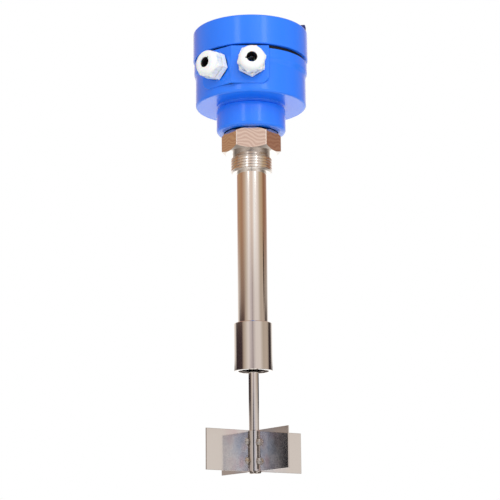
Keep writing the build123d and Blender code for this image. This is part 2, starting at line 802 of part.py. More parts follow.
with BuildPart() as thrust_washer:
    with BuildSketch(Plane.XY.offset(bush_top)):
        Circle(washer_diameter / 2)
        Circle(pivot_radius + fit_gap, mode=Mode.SUBTRACT)
    extrude(amount=washer_thickness)
keep(thrust_washer.part, "thrust_washer")

# Swing plate: carries the motor, and has an arc slot for the stop pin and a notch over the terminals
terminal_length = terminal_ways * terminal_pitch + 2 * terminal_end_wall
with BuildPart() as swing_plate:
    with BuildSketch(Plane.XY.offset(swing_bottom)):
        Circle(swing_plate_diameter / 2)
        Circle(pivot_radius + fit_gap, mode=Mode.SUBTRACT)
        with Locations((swing_notch_side - swing_plate_diameter / 2, terminal_middle)):
            Rectangle(swing_plate_diameter, terminal_length + 2 * swing_notch_margin, mode=Mode.SUBTRACT)
        with Locations(*[polar(motor_ear_circle / 2, a)[:2] for a in motor_ear_azimuths]):
            Circle(motor_screw_diameter / 2 + fit_gap, mode=Mode.SUBTRACT)
        with Locations(polar(pin_circle / 2, actuator_azimuth)[:2]):
            Circle(pin_radius + fit_gap, mode=Mode.SUBTRACT)
        with Locations(moving_post):
            Circle(post_diameter / 2 + fit_gap, mode=Mode.SUBTRACT)
        with BuildLine():
            slot_arc = CenterArc((0, 0), pin_circle / 2, stop_azimuth - swing_range, swing_range)
        SlotArc(slot_arc, height=pin_diameter + 2 * loose_gap, mode=Mode.SUBTRACT)
    extrude(amount=plate_thickness)
keep(swing_plate.part, "swing_plate")

# Stop pin, standing on the base plate and reaching through the swing plate's slot
with BuildPart() as stop_pin:
    with BuildSketch(Plane(polar(pin_circle / 2, stop_azimuth, plate_bottom))):
        Circle(pin_radius)
    extrude(amount=swing_top - plate_bottom)
keep(stop_pin.part, "stop_pin")

# Actuator pin, hanging from the swing plate between the switch levers' ends
with BuildPart() as actuator_pin:
    with BuildSketch(Plane(polar(pin_circle / 2, actuator_azimuth, swing_top))):
        Circle(pin_radius)
    extrude(amount=plate_top + 1 - swing_top)
keep(actuator_pin.part, "actuator_pin")

# Spring posts, each with a flange that keeps the spring's hook on
spring_z = swing_bottom - spring_drop
with BuildPart() as fixed_spring_post:
    with BuildSketch(Plane((*fixed_post, plate_bottom))):
        Circle(post_diameter / 2)
    extrude(amount=spring_z + post_flange_drop + spring_wire - plate_bottom)
    with BuildSketch(Plane((*fixed_post, spring_z + post_flange_drop))):
        Circle(post_flange_diameter / 2)
    extrude(amount=spring_wire)
keep(fixed_spring_post.part, "fixed_spring_post")

with BuildPart() as moving_spring_post:
    with BuildSketch(Plane((*moving_post, swing_top))):
        Circle(post_diameter / 2)
    extrude(amount=spring_z - post_flange_drop - spring_wire - swing_top)
    with BuildSketch(Plane((*moving_post, spring_z - post_flange_drop))):
        Circle(post_flange_diameter / 2)
    extrude(amount=-spring_wire)
keep(moving_spring_post.part, "moving_spring_post")

# Return spring: a close coil between two hooks
coil_radius = (spring_coil_diameter - spring_wire) / 2
hook_radius = (post_diameter + spring_wire) / 2 + loose_gap / 2
coil_start = -(spring_post_spacing - spring_body_length) / 2
with BuildPart() as return_spring:
    with BuildLine():
        coil = Helix(
            pitch=spring_body_length / spring_turns,
            height=spring_body_length,
            radius=coil_radius,
            center=(spring_offset, coil_start, spring_z),
            direction=(0, -1, 0),
        )
    with BuildSketch(Plane(origin=coil @ 0, z_dir=coil % 0)):
        Circle(spring_wire / 2)
    sweep(path=coil, is_frenet=True)
    for post, coil_end in ((moving_post, coil @ 0), (fixed_post, coil @ 1)):
        towards_coil = 1 if post is fixed_post else -1
        hook_end = Vector(post[0], post[1] + towards_coil * hook_radius, spring_z)
        with Locations((*post, spring_z)):
            Torus(hook_radius, spring_wire / 2)
        with BuildLine():
            link = Line(hook_end, coil_end)
        with BuildSketch(Plane(origin=link @ 0, z_dir=link % 0)):
            Circle(spring_wire / 2)
        sweep(path=link)
keep(return_spring.part, "return_spring")

# Geared motor: a pressed can with two ears, and its screws with their nuts
motor_ear_points = [polar(motor_ear_circle / 2, a, swing_top) for a in motor_ear_azimuths]
with BuildPart() as gear_motor:
    with BuildSketch(Plane.XY.offset(swing_top)):
        Circle(motor_diameter / 2)
    extrude(amount=motor_height)
    fillet(gear_motor.edges().sort_by(Axis.Z)[-1], radius=motor_edge_round)
    for azimuth in motor_ear_azimuths:
        with BuildSketch(Plane(origin=(0, 0, swing_top), x_dir=polar(1, azimuth))):
            with Locations((motor_ear_circle / 4, 0)):
                Rectangle(motor_ear_circle / 2, 2 * motor_ear_radius)
            with Locations((motor_ear_circle / 2, 0)):
                Circle(motor_ear_radius)
                Circle(motor_screw_diameter / 2 + fit_gap, mode=Mode.SUBTRACT)
        extrude(amount=motor_ear_thickness)
keep(gear_motor.part, "gear_motor")

with BuildPart() as motor_screws:
    for point in motor_ear_points:
        with BuildSketch(Plane(point).offset(motor_ear_thickness)):
            Circle(motor_screw_head / 2)
        extrude(amount=motor_screw_head_height)
        with BuildSketch(Plane(point).offset(motor_ear_thickness)):
            Circle(motor_screw_diameter / 2)
        extrude(amount=-motor_ear_thickness - plate_thickness - motor_nut_height - motor_screw_end)
        with BuildSketch(Plane(point).offset(-plate_thickness)):
            RegularPolygon(motor_nut_across_flats / 2, 6, major_radius=False)
        extrude(amount=-motor_nut_height)
keep(motor_screws.part, "motor_screws")

# Output shaft and coupling: join the motor to the drive shaft
with BuildPart() as motor_output_shaft:
    with BuildSketch(Plane.XY.offset(swing_top - fit_gap)):
        Circle(motor_shaft_diameter / 2)
    extrude(amount=-motor_shaft_length)
keep(motor_output_shaft.part, "motor_output_shaft")

grub_heights = [coupling_bottom + coupling_shaft_grip / 2, coupling_top - coupling_shaft_grip / 3]
with BuildPart() as shaft_coupling:
    with BuildSketch(Plane.XY.offset(coupling_bottom)):
        Circle(coupling_diameter / 2)
    extrude(amount=coupling_length)
    with BuildSketch(Plane.XY.offset(coupling_bottom)):
        Circle(shaft_radius + fit_gap)
    extrude(amount=coupling_shaft_grip, mode=Mode.SUBTRACT)
    with BuildSketch(Plane.XY.offset(coupling_top)):
        Circle(motor_shaft_diameter / 2 + fit_gap)
    extrude(amount=coupling_shaft_grip - coupling_length, mode=Mode.SUBTRACT)
    for height in grub_heights:
        with BuildSketch(Plane.YZ.offset(shaft_radius)):
            with Locations((0, height)):
                Circle(grub_diameter / 2 + fit_gap)
        extrude(amount=coupling_diameter, mode=Mode.SUBTRACT)
keep(shaft_coupling.part, "shaft_coupling")

with BuildPart() as coupling_screws:
    for height in grub_heights:
        with BuildSketch(Plane.YZ.offset(shaft_radius + 2 * fit_gap)):
            with Locations((0, height)):
                Circle(grub_diameter / 2)
        extrude(amount=grub_length)
keep(coupling_screws.part, "coupling_screws")

# Microswitches, stacked beside the actuator pin, each with a plunger and a lever on a pin
pivot = (switch_side + lever_pivot_offset, switch_near_end + lever_pivot_inset)
pin_point = polar(pin_circle / 2, actuator_azimuth)
towards_pin = (pin_point[0] - pivot[0], pin_point[1] - pivot[1])
pin_clearance = pin_radius + loose_gap + lever_thickness / 2
lean = degrees(atan2(*towards_pin) - asin(pin_clearance / hypot(*towards_pin)))
switch_floors = {
    "lower": plate_top + switch_sheet,
    "upper": plate_top + 2 * switch_sheet + switch_thickness,
}
cheek_radius = lever_pin_diameter / 2 + loose_gap
cheek_height = (switch_thickness - lever_width) / 2 - loose_gap / 2
for place, floor in switch_floors.items():
    with BuildPart() as microswitch:
        with BuildSketch(Plane.XY.offset(floor)):
            with Locations((switch_side - switch_depth / 2, switch_middle)):
                Rectangle(switch_depth, switch_length)
            with Locations(*switch_holes):
                Circle(switch_hole_diameter / 2, mode=Mode.SUBTRACT)
        extrude(amount=switch_thickness)
        for bottom in (floor, floor + switch_thickness - cheek_height):
            with BuildSketch(Plane.XY.offset(bottom)):
                with Locations(pivot):
                    Circle(cheek_radius)
                with Locations((switch_side + lever_pivot_offset / 2, pivot[1])):
                    Rectangle(lever_pivot_offset, 2 * cheek_radius)
            extrude(amount=cheek_height)
        with BuildSketch(Plane.XY.offset(floor)):
            with Locations(pivot):
                Circle(lever_pin_diameter / 2)
        extrude(amount=switch_thickness)
        with BuildSketch(Plane.YZ.offset(switch_side)):
            with Locations((switch_middle, floor + switch_thickness / 2)):
                Circle(plunger_diameter / 2)
        extrude(amount=plunger_height)
        with BuildSketch(Plane.YZ.offset(switch_side - switch_depth)):
            with Locations((switch_middle, floor + switch_thickness / 2)):
                with GridLocations(switch_length / switch_tabs, 1, switch_tabs, 1):
                    Rectangle(switch_tab_width, switch_tab_thickness)
        extrude(amount=-switch_tab_length)
    keep(microswitch.part, f"{place}_microswitch")

    with BuildPart() as lever:
        lever_bottom = floor + (switch_thickness - lever_width) / 2
        with BuildSketch(Plane(origin=(*pivot, lever_bottom), x_dir=polar(1, 90 - lean))):
            Circle(cheek_radius)
            with Locations((lever_length / 2, 0)):
                Rectangle(lever_length, lever_thickness)
            Circle(lever_pin_diameter / 2 + fit_gap, mode=Mode.SUBTRACT)
        extrude(amount=lever_width)
    keep(lever.part, f"{place}_switch_lever")

switch_stack_top = switch_floors["upper"] + switch_thickness
with BuildPart() as switch_sheets:
    for floor in switch_floors.values():
        with BuildSketch(Plane.XY.offset(floor - switch_sheet)):
            with Locations((switch_side - switch_depth / 2, switch_middle)):
                Rectangle(switch_depth, switch_length)
            with Locations(*switch_holes):
                Circle(switch_hole_diameter / 2, mode=Mode.SUBTRACT)
        extrude(amount=switch_sheet)
keep(switch_sheets.part, "switch_sheets")

with BuildPart() as switch_screws:
    for hole in switch_holes:
        with BuildSketch(Plane((*hole, switch_stack_top))):
            Circle(switch_screw_head / 2)
        extrude(amount=switch_screw_head_height)
        with BuildSketch(Plane((*hole, switch_stack_top))):
            Circle(switch_hole_diameter / 2 - fit_gap)
        extrude(amount=plate_bottom - switch_stack_top)
keep(switch_screws.part, "switch_screws")

# Terminal block with a screw for each way
terminal_centre = terminal_inner_side - terminal_depth / 2
first_way = terminal_middle - (terminal_ways - 1) / 2 * terminal_pitch
way_offsets = [first_way + i * terminal_pitch for i in range(terminal_ways)]
with BuildPart() as terminal_block:
    with BuildSketch(Plane.XY.offset(plate_top)):
        with Locations((terminal_centre, terminal_middle)):
            Rectangle(terminal_depth, terminal_length)
    extrude(amount=terminal_height)
    with BuildSketch(Plane.XY.offset(plate_top + terminal_height)):
        with Locations(*[(terminal_centre, y) for y in way_offsets]):
            Circle(terminal_screw_diameter / 2 + loose_gap)
    extrude(amount=-terminal_height / 2, mode=Mode.SUBTRACT)
    with BuildSketch(Plane.YZ.offset(terminal_inner_side)):
        with Locations(*[(y, plate_top + terminal_height / 3) for y in way_offsets]):
            Rectangle(terminal_pitch - 2 * terminal_way_wall, terminal_height / 3)
    extrude(amount=-terminal_depth / 2, mode=Mode.SUBTRACT)
keep(terminal_block.part, "terminal_block")

with BuildPart() as terminal_screws:
    for y in way_offsets:
        with BuildSketch(Plane((terminal_centre, y, plate_top + terminal_height / 2))):
            Circle(terminal_screw_diameter / 2)
        extrude(amount=terminal_height / 3)
        with BuildSketch(Plane((terminal_centre, y, plate_top + terminal_height * 5 / 6))):
            Rectangle(screw_slot_width, terminal_screw_diameter)
        extrude(amount=-screw_slot_depth, mode=Mode.SUBTRACT)
keep(terminal_screws.part, "terminal_screws")

# Earth screw with its washer
earth_washer_top = plate_top + earth_washer_thickness
with BuildPart() as earth_screw:
    with BuildSketch(Plane(polar(earth_screw_circle / 2, earth_screw_azimuth, plate_bottom))):
        Circle(base_screw_diameter / 2)
    extrude(amount=plate_thickness)
    with BuildSketch(Plane(polar(earth_screw_circle / 2, earth_screw_azimuth, plate_top))):
        Circle(earth_washer_diameter / 2)
    extrude(amount=earth_washer_thickness)
    with BuildSketch(Plane(polar(earth_screw_circle / 2, earth_screw_azimuth, earth_washer_top))):
        Circle(base_screw_head / 2)
    extrude(amount=base_screw_head_height)
keep(earth_screw.part, "earth_screw")
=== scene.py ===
import json
from math import atan2, cos, degrees, pi, radians, sin, tan
from random import Random

import bpy
from mathutils import Matrix, Vector


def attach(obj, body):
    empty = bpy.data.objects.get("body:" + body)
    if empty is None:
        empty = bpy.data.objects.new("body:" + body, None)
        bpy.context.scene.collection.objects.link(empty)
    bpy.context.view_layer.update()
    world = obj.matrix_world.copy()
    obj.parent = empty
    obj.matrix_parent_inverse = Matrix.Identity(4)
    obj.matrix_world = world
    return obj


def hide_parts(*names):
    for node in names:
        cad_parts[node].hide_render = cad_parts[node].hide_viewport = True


# The level switch's solid model comes first: every piece below takes its place from it.
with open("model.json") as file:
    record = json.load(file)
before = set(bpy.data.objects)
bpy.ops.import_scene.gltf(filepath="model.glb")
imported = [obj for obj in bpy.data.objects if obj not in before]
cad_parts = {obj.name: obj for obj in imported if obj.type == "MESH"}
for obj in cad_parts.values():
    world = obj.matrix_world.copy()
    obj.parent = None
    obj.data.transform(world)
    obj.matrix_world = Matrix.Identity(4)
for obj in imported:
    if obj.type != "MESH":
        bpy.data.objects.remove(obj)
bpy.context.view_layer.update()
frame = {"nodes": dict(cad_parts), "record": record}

# Housing lid
# A cast aluminium cap with a threaded spigot under it, which screws into the housing's mouth.
# Two small lugs stand on its rim for the bar that turns it. Sprayed with gloss blue enamel.
MM = 0.001
lid_radius = 47.0
lid_bottom = 82.0
lid_top = 106.7
lid_roof_under = 102.7
lid_pocket_radius = 42.5
lid_web_top = 85.5
spigot_radius = 37.45
spigot_inner_radius = 34.25
spigot_bottom = 70.0
lid_edge_round = 0.9
lid_top_round = 2.0
lug_azimuth = -8.0
lug_size = (9.0, 6.6, 6.6)
lug_outer_radius = 46.0
lug_top = 111.5
lug_shade_height = 0.4


def turned(name, rings, segments=160):
    """A turned piece: a circle drawn out through rings of (radius, height) in millimetres.

    The ends are closed by flat faces, unless the last ring lies on the first."""
    radius, height = rings[0]
    bpy.ops.object.select_all(action="DESELECT")
    bpy.ops.mesh.primitive_circle_add(vertices=segments, radius=radius * MM, location=(0, 0, height * MM))
    piece = bpy.context.object
    piece.name = name
    bpy.ops.object.transform_apply(location=True)
    bpy.ops.object.mode_set(mode="EDIT")
    bpy.ops.mesh.select_all(action="SELECT")
    for next_radius, next_height in rings[1:]:
        rise = (0, 0, (next_height - height) * MM)
        growth = next_radius / radius
        bpy.ops.mesh.extrude_region_move(TRANSFORM_OT_translate={"value": rise})
        bpy.ops.transform.resize(value=(growth, growth, 1), center_override=(0, 0, next_height * MM))
        radius, height = next_radius, next_height
    bpy.ops.mesh.select_all(action="SELECT")
    bpy.ops.mesh.remove_doubles(threshold=0.001 * MM)
    bpy.ops.mesh.fill_holes(sides=0)
    bpy.ops.mesh.select_all(action="SELECT")
    bpy.ops.mesh.normals_make_consistent(inside=False)
    bpy.ops.object.mode_set(mode="OBJECT")
    return piece


def combine(piece, other, operation):
    """Joins another solid to a piece, or cuts it away, and removes the other."""
    bpy.ops.object.select_all(action="DESELECT")
    bpy.context.view_layer.objects.active = piece
    piece.select_set(True)
    cut = piece.modifiers.new("cut", "BOOLEAN")
    cut.operation = operation
    cut.object = other
    bpy.ops.object.modifier_apply(modifier=cut.name)
    bpy.data.objects.remove(other)


def soften(piece, width, segments=3, smooth_angle=35, edge_material=-1):
    """Rounds a piece's sharp edges by a width in millimetres and shades it smooth.

    Normals are weighted by area, so that a flat face stays flat beside its rounded edges. The
    rounded edges can take another of the piece's materials."""
    bpy.ops.object.select_all(action="DESELECT")
    bpy.context.view_layer.objects.active = piece
    piece.select_set(True)
    if width:
        rounding = piece.modifiers.new("rounding", "BEVEL")
        rounding.width = width * MM
        rounding.segments = segments
        rounding.limit_method = "ANGLE"
        rounding.angle_limit = radians(28)
        rounding.use_clamp_overlap = False
        rounding.material = edge_material
        bpy.ops.object.modifier_apply(modifier=rounding.name)
    bpy.ops.object.shade_smooth_by_angle(angle=radians(smooth_angle))
    weighted = piece.modifiers.new("weighted", "WEIGHTED_NORMAL")
    weighted.keep_sharp = True
    bpy.ops.object.modifier_apply(modifier=weighted.name)


def block(name, size, matrix):
    """A box of a size in millimetres, centred on a matrix's place."""
    bpy.ops.object.select_all(action="DESELECT")
    bpy.ops.mesh.primitive_cube_add(size=1)
    piece = bpy.context.object
    piece.name = name
    piece.scale = [side * MM for side in size]
    bpy.ops.object.transform_apply(scale=True)
    piece.data.transform(matrix)
    return piece


def linear(colour):
    """Linear RGBA of an sRGB hex colour."""
    parts = [int(colour[i:i + 2], 16) / 255 for i in (1, 3, 5)]
    return tuple(p / 12.92 if p <= 0.04045 else ((p + 0.055) / 1.055) ** 2.4 for p in parts) + (1.0,)


def add_node(tree, kind, inputs=(), **settings):
    """Adds a node: settings are its own properties, inputs its socket values or the links to them."""
    node = tree.nodes.new(kind)
    for name, value in settings.items():
        setattr(node, name, value)
    for socket, value in dict(inputs).items():
        if isinstance(value, bpy.types.NodeSocket):
            tree.links.new(value, node.inputs[socket])
        else:
            node.inputs[socket].default_value = value
    return node


def finish_of(name, **values):
    """A new material whose shader has these values, with its node tree and its shader."""
    material = bpy.data.materials.new(name)
    material.use_nodes = True
    shader = material.node_tree.nodes["Principled BSDF"]
    for socket, value in values.items():
        shader.inputs[socket.replace("_", " ")].default_value = value
    return material, material.node_tree, shader


def coat(piece, materials, body):
    """Gives a piece its materials and the body that carries it."""
    piece.data.materials.clear()
    for material in materials:
        piece.data.materials.append(material)
    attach(piece, body)


# Gloss enamel sprayed on a casting: a strong azure under a clear film, with a faint orange peel.
# The peel's cells are about 1.5 mm across and show only where a light glances off them.
peel_cell = 1.5
enamel, tree, shader = finish_of(
    "gloss_blue_enamel",
    Base_Color=linear("#127AFC"),
    Roughness=0.5,
    Specular_IOR_Level=0.2,
    Coat_Weight=1.0,
    Coat_Roughness=0.14,
    Coat_IOR=1.5,
)
place = add_node(tree, "ShaderNodeTexCoord").outputs["Object"]
peel = add_node(tree, "ShaderNodeTexNoise", {"Vector": place, "Scale": 1 / (peel_cell * MM), "Detail": 2.0})
lumps = add_node(tree, "ShaderNodeTexNoise", {"Vector": place, "Scale": 1 / (9 * MM), "Detail": 1.0})
relief = add_node(
    tree,
    "ShaderNodeMath",
    {0: peel.outputs["Fac"], 1: lumps.outputs["Fac"]},
    operation="ADD",
)
peel_bump = add_node(
    tree,
    "ShaderNodeBump",
    {"Height": relief.outputs[0], "Strength": 0.12, "Distance": 0.25 * MM},
)
tree.links.new(peel_bump.outputs["Normal"], shader.inputs["Normal"])
tree.links.new(peel_bump.outputs["Normal"], shader.inputs["Coat Normal"])

lid = turned(
    "lid",
    [
        (lid_pocket_radius, lid_roof_under),
        (lid_pocket_radius, lid_web_top),
        (spigot_inner_radius, lid_web_top),
        (spigot_inner_radius, spigot_bottom),
        (spigot_radius, spigot_bottom),
        (spigot_radius, lid_bottom),
        (lid_radius, lid_bottom),
    ]
    + [
        (
            lid_radius - lid_top_round * (1 - cos(radians(15 * step))),
            lid_top - lid_top_round * (1 - sin(radians(15 * step))),
        )
        for step in range(7)
    ],
)
for azimuth in (lug_azimuth, lug_azimuth + 180):
    lug_centre = (lug_outer_radius - lug_size[0] / 2, 0, lug_top - lug_size[2] / 2)
    turn = Matrix.Rotation(radians(azimuth), 4, "Z")
    lug = block("lug", lug_size, turn @ Matrix.Translation([c * MM for c in lug_centre]))
    combine(lid, lug, "UNION")
soften(lid, lid_edge_round)

# The lugs' tips above the lid's top take a dark navy colour: painted shade, for the shadow and dark reflection that
# fall on them.
lug_tip_shade, tree, shader = finish_of(
    "painted_shade_lug_tips",
    Base_Color=linear("#26306A"),
    Roughness=0.6,
    Specular_IOR_Level=0.3,
)
place = add_node(tree, "ShaderNodeTexCoord").outputs["Object"]
sand = add_node(tree, "ShaderNodeTexNoise", {"Vector": place, "Scale": 1 / (0.5 * MM), "Detail": 3.0})
sand_bump = add_node(
    tree,
    "ShaderNodeBump",
    {"Height": sand.outputs["Fac"], "Strength": 0.3, "Distance": 0.2 * MM},
)
tree.links.new(sand_bump.outputs["Normal"], shader.inputs["Normal"])
coat(lid, [enamel, lug_tip_shade], "lid")
# Faces above the lid's top take the painted shade of the lug tips.
for face in lid.data.polygons:
    if face.center.z > (lid_top + lug_shade_height) * MM:
        face.material_index = 1
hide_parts("housing_lid")

# Housing body
# A cast aluminium pot with a thicker band round its mouth and a flat undercut under its floor.
# A cast boss on the front carries two machined facets, one for each cable gland. Same enamel.
body_radius = 45.0
band_radius = 46.3
body_bottom = 43.0
body_top = 78.9
body_round = 1.8
band_bottom = 69.0
band_blend = 6.0
band_steps = 8
undercut_radius = 27.2
neck_top = 40.9
floor_top = 48.0
floor_bore_radius = 9.0
cavity_radius = 41.0
mouth_radius = 37.5
mouth_bottom = 66.9
facet_distance = 45.5
gland_height = 65.5
gland_azimuths = {"left": 232.0, "right": 271.4}
gland_offsets = {"left": 1.9, "right": -0.4}
facet_outer_half_width = 13.65
boss_bottom = 49.2
boss_top = 80.8
boss_corner_round = 7.0
boss_depth = 12.0
gasket_seat_radius = 44.6
gland_hole_radius = 9.35
gland_pad_radius = 12.5
gland_pad_depth = 7.5
boss_core_radius = 43.0
boss_inset = 1.0
seam_weld = 0.12


def facet_matrix(side, out=0.0):
    """The frame of a facet: X along it from its azimuth's line, Y up, Z outwards."""
    azimuth = radians(gland_azimuths[side])
    out_of = Vector((cos(azimuth), sin(azimuth), 0))
    along = Vector((-sin(azimuth), cos(azimuth), 0))
    turn = Matrix((along, Vector((0, 0, 1)), out_of)).transposed().to_4x4()
    centre = out_of * (facet_distance + out) + Vector((0, 0, gland_height))
    return Matrix.Translation(centre * MM) @ turn


def gland_matrix(side, out=0.0):
    """The facet's frame moved to the gland's own axis."""
    return facet_matrix(side, out) @ Matrix.Translation((gland_offsets[side] * MM, 0, 0))


def rod(name, radius, length, matrix, segments=96):
    """A round bar in millimetres that stands on a matrix's XY plane and runs along its Z."""
    bpy.ops.object.select_all(action="DESELECT")
    bpy.ops.mesh.primitive_cylinder_add(vertices=segments, radius=radius * MM, depth=length * MM)
    piece = bpy.context.object
    piece.name = name
    piece.data.transform(matrix @ Matrix.Translation((0, 0, length * MM / 2)))
    return piece


housing = turned(
    "housing",
    [
        (floor_bore_radius, neck_top),
        (undercut_radius, neck_top),
        (undercut_radius, body_bottom),
    ]
    + [
        (
            body_radius - body_round * (1 - sin(radians(15 * step))),
            body_bottom + body_round * (1 - cos(radians(15 * step))),
        )
        for step in range(7)
    ]
    + [
        (
            body_radius + (band_radius - body_radius) * (1 - cos(pi * step / band_steps)) / 2,
            band_bottom + band_blend * (step / band_steps - 0.5),
        )
        for step in range(band_steps + 1)
    ]
    + [
        (band_radius, body_top),
        (mouth_radius, body_top),
        (mouth_radius, mouth_bottom),
        (cavity_radius, mouth_bottom),
        (cavity_radius, floor_top),
        (floor_bore_radius, floor_top),
        (floor_bore_radius, neck_top),
    ],
)
for side in gland_azimuths:
    front_size = (2 * gland_pad_radius, boss_top - boss_bottom - 3, 4)
    front_height = ((boss_bottom + boss_top) / 2 - gland_height) * MM
    front = block("front", front_size, facet_matrix(side, 1) @ Matrix.Translation((0, front_height, 0)))
    combine(housing, front, "DIFFERENCE")
half_spread = radians((gland_azimuths["right"] - gland_azimuths["left"]) / 2)
facet_inner_half_width = facet_distance * tan(half_spread)
for side, outward in (("left", -1), ("right", 1)):
    facet_width = facet_outer_half_width + facet_inner_half_width
    facet_middle = outward * (facet_outer_half_width - facet_inner_half_width) / 2
    centre = (facet_middle, (boss_bottom + boss_top) / 2 - gland_height, -boss_depth / 2)
    size = (facet_width, boss_top - boss_bottom, boss_depth)
    boss = block("boss", size, Matrix.Translation([c * MM for c in centre]))
    bpy.ops.object.mode_set(mode="EDIT")
    bpy.ops.mesh.select_all(action="DESELECT")
    bpy.ops.object.mode_set(mode="OBJECT")
    corner = Vector((outward * facet_outer_half_width, boss_bottom - gland_height)) * MM
    for edge in boss.data.edges:
        ends = [boss.data.vertices[v].co for v in edge.vertices]
        edge.select = all((end.xy - corner).length < 0.01 * MM for end in ends)
    bpy.ops.object.mode_set(mode="EDIT")
    bpy.ops.mesh.select_mode(type="EDGE")
    bpy.ops.mesh.bevel(offset=boss_corner_round * MM, segments=10)
    bpy.ops.object.mode_set(mode="OBJECT")
    boss.data.transform(facet_matrix(side))
    bpy.ops.object.mode_set(mode="EDIT")
    bpy.ops.mesh.select_all(action="SELECT")
    ridge = radians((gland_azimuths["left"] + gland_azimuths["right"]) / 2)
    past_ridge = Vector((sin(ridge), -cos(ridge), 0)) * outward
    bpy.ops.mesh.bisect(
        plane_co=(0, 0, 0),
        plane_no=past_ridge,
        use_fill=True,
        clear_outer=True,
    )
    bpy.ops.mesh.select_all(action="SELECT")
    bpy.ops.mesh.normals_make_consistent(inside=False)
    bpy.ops.object.mode_set(mode="OBJECT")
    core = turned(
        "core",
        [
            (boss_core_radius, boss_bottom - 1),
            (boss_core_radius, body_top - boss_inset),
            (gasket_seat_radius, body_top - boss_inset),
            (gasket_seat_radius, boss_top + 1),
        ],
    )
    combine(boss, core, "DIFFERENCE")
    combine(housing, boss, "UNION")
for side in gland_azimuths:
    pad = rod("pad", gland_pad_radius, gland_pad_depth - 1, gland_matrix(side, -gland_pad_depth))
    combine(housing, pad, "UNION")
for side in gland_azimuths:
    hole = rod("hole", gland_hole_radius, 20, gland_matrix(side, -15))
    combine(housing, hole, "DIFFERENCE")
bpy.ops.object.select_all(action="DESELECT")
bpy.context.view_layer.objects.active = housing
housing.select_set(True)
bpy.ops.object.mode_set(mode="EDIT")
bpy.ops.mesh.select_all(action="SELECT")
bpy.ops.mesh.remove_doubles(threshold=seam_weld * MM)
bpy.ops.object.mode_set(mode="OBJECT")
soften(housing, 0.6)
coat(housing, [enamel], "root")
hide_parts("housing_body")

# Neck ring
# A turned ring, enamelled with the housing, which clamps the nipple's flange under it.
# Its underside is recessed round the flange, and its lower edge is well rounded.
neck_radius = 28.1
neck_bottom = 21.1
neck_recess_radius = 21.9
neck_recess_top = 25.1
neck_bore_radius = 18.0
neck_round = 2.8
neck_top_round = 1.2
round_steps = 6
neck_rings = [(neck_bore_radius, neck_top), (neck_bore_radius, neck_recess_top)]
neck_rings += [(neck_recess_radius, neck_recess_top), (neck_recess_radius, neck_bottom + 0.4)]
neck_rings += [(neck_recess_radius + 0.4, neck_bottom)]
for step in range(round_steps + 1):
    angle = radians(90 * step / round_steps)
    ring_radius = neck_radius - neck_round * (1 - sin(angle))
    neck_rings.append((ring_radius, neck_bottom + neck_round * (1 - cos(angle))))
for step in range(round_steps + 1):
    angle = radians(90 * step / round_steps)
    ring_radius = neck_radius - neck_top_round * (1 - cos(angle))
    neck_rings.append((ring_radius, neck_top - neck_top_round * (1 - sin(angle))))
neck_rings.append((neck_bore_radius, neck_top))
neck = turned("neck", neck_rings)
soften(neck, 0)
coat(neck, [enamel], "root")
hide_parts("neck_ring")

# Process nipple
# One bar of stainless steel: a hexagon for the spanner, milled flat and chamfered at both ends,
# a relief groove and a short pipe thread of 11 threads to the inch, whose crests meet the chamfer.
hex_bottom = 3.8
hex_top = 20.8
hex_across_flats = 42.0
hex_corner_radius = 24.1
hex_edge_round = 0.6
hex_flat_chamfer = 0.1
chamfer_rise = tan(radians(36))
shoulder_radius = 20.5
shoulder_top = 23.6
nipple_spigot_radius = 17.95
thread_radius = 16.625
thread_pitch = 25.4 / 11
thread_depth = 0.8
thread_root_share = 0.06
thread_flank_share = 0.28
thread_bottom = -12.5
thread_chamfer = 1.3
relief_radius = 15.1
relief_hollow = 0.1
relief_steps = 8
relief_height = 3.6
tube_bore_radius = 10.0
socket_radius = 12.05
socket_top = -0.5

# Polished stainless steel: bright and slightly warm, with the long faint waves of a buffed surface.
# The waves are a few millimetres across and bend the room's reflections without blurring them.
steel_wave = 14.0
steel, tree, shader = finish_of(
    "polished_stainless_steel",
    Base_Color=linear("#E2DDD8"),
    Metallic=1.0,
    Roughness=0.085,
)
place = add_node(tree, "ShaderNodeTexCoord").outputs["Object"]
drawn = add_node(tree, "ShaderNodeMapping", {"Vector": place, "Scale": (1.0, 1.0, 0.12)})
wave = add_node(
    tree,
    "ShaderNodeTexNoise",
    {"Vector": drawn.outputs[0], "Scale": 1 / (steel_wave * MM), "Detail": 2.0, "Roughness": 0.6},
)
wave_bump = add_node(
    tree,
    "ShaderNodeBump",
    {"Height": wave.outputs["Fac"], "Strength": 0.35, "Distance": 0.3 * MM},
)
tree.links.new(wave_bump.outputs["Normal"], shader.inputs["Normal"])

# Milled stainless steel: the cutter leaves shallow ridges about 3 mm apart on each flat, which
# wander like grain. Their colour goes from rose to grey with the ridges: a painted reflection of the
# warm room in the wavy flats. A wave texture repeats every tenth of pi of its scale.
ridge_spacing = 2.6
wave_period = pi / 10
milled, tree, shader = finish_of("milled_stainless_steel", Metallic=1.0, Roughness=0.13)
place = add_node(tree, "ShaderNodeTexCoord").outputs["Object"]
ridges = add_node(
    tree,
    "ShaderNodeTexWave",
    {
        "Vector": place,
        "Scale": wave_period / (ridge_spacing * MM),
        "Distortion": 34.0,
        "Detail": 2.0,
        "Detail Scale": 0.3,
    },
    bands_direction="Z",
)
# The ridges' rose-to-grey colour is painted reflection.
ridge_painted_reflection = add_node(tree, "ShaderNodeValToRGB", {"Fac": ridges.outputs["Fac"]})
ridge_painted_reflection.color_ramp.elements[0].color = linear("#D8C6C0")
ridge_painted_reflection.color_ramp.elements[1].color = linear("#EADFD8")
tree.links.new(ridge_painted_reflection.outputs["Color"], shader.inputs["Base Color"])
milled_bump = add_node(
    tree,
    "ShaderNodeBump",
    {"Height": ridges.outputs["Fac"], "Strength": 0.3, "Distance": 0.03 * MM},
)
tree.links.new(milled_bump.outputs["Normal"], shader.inputs["Normal"])

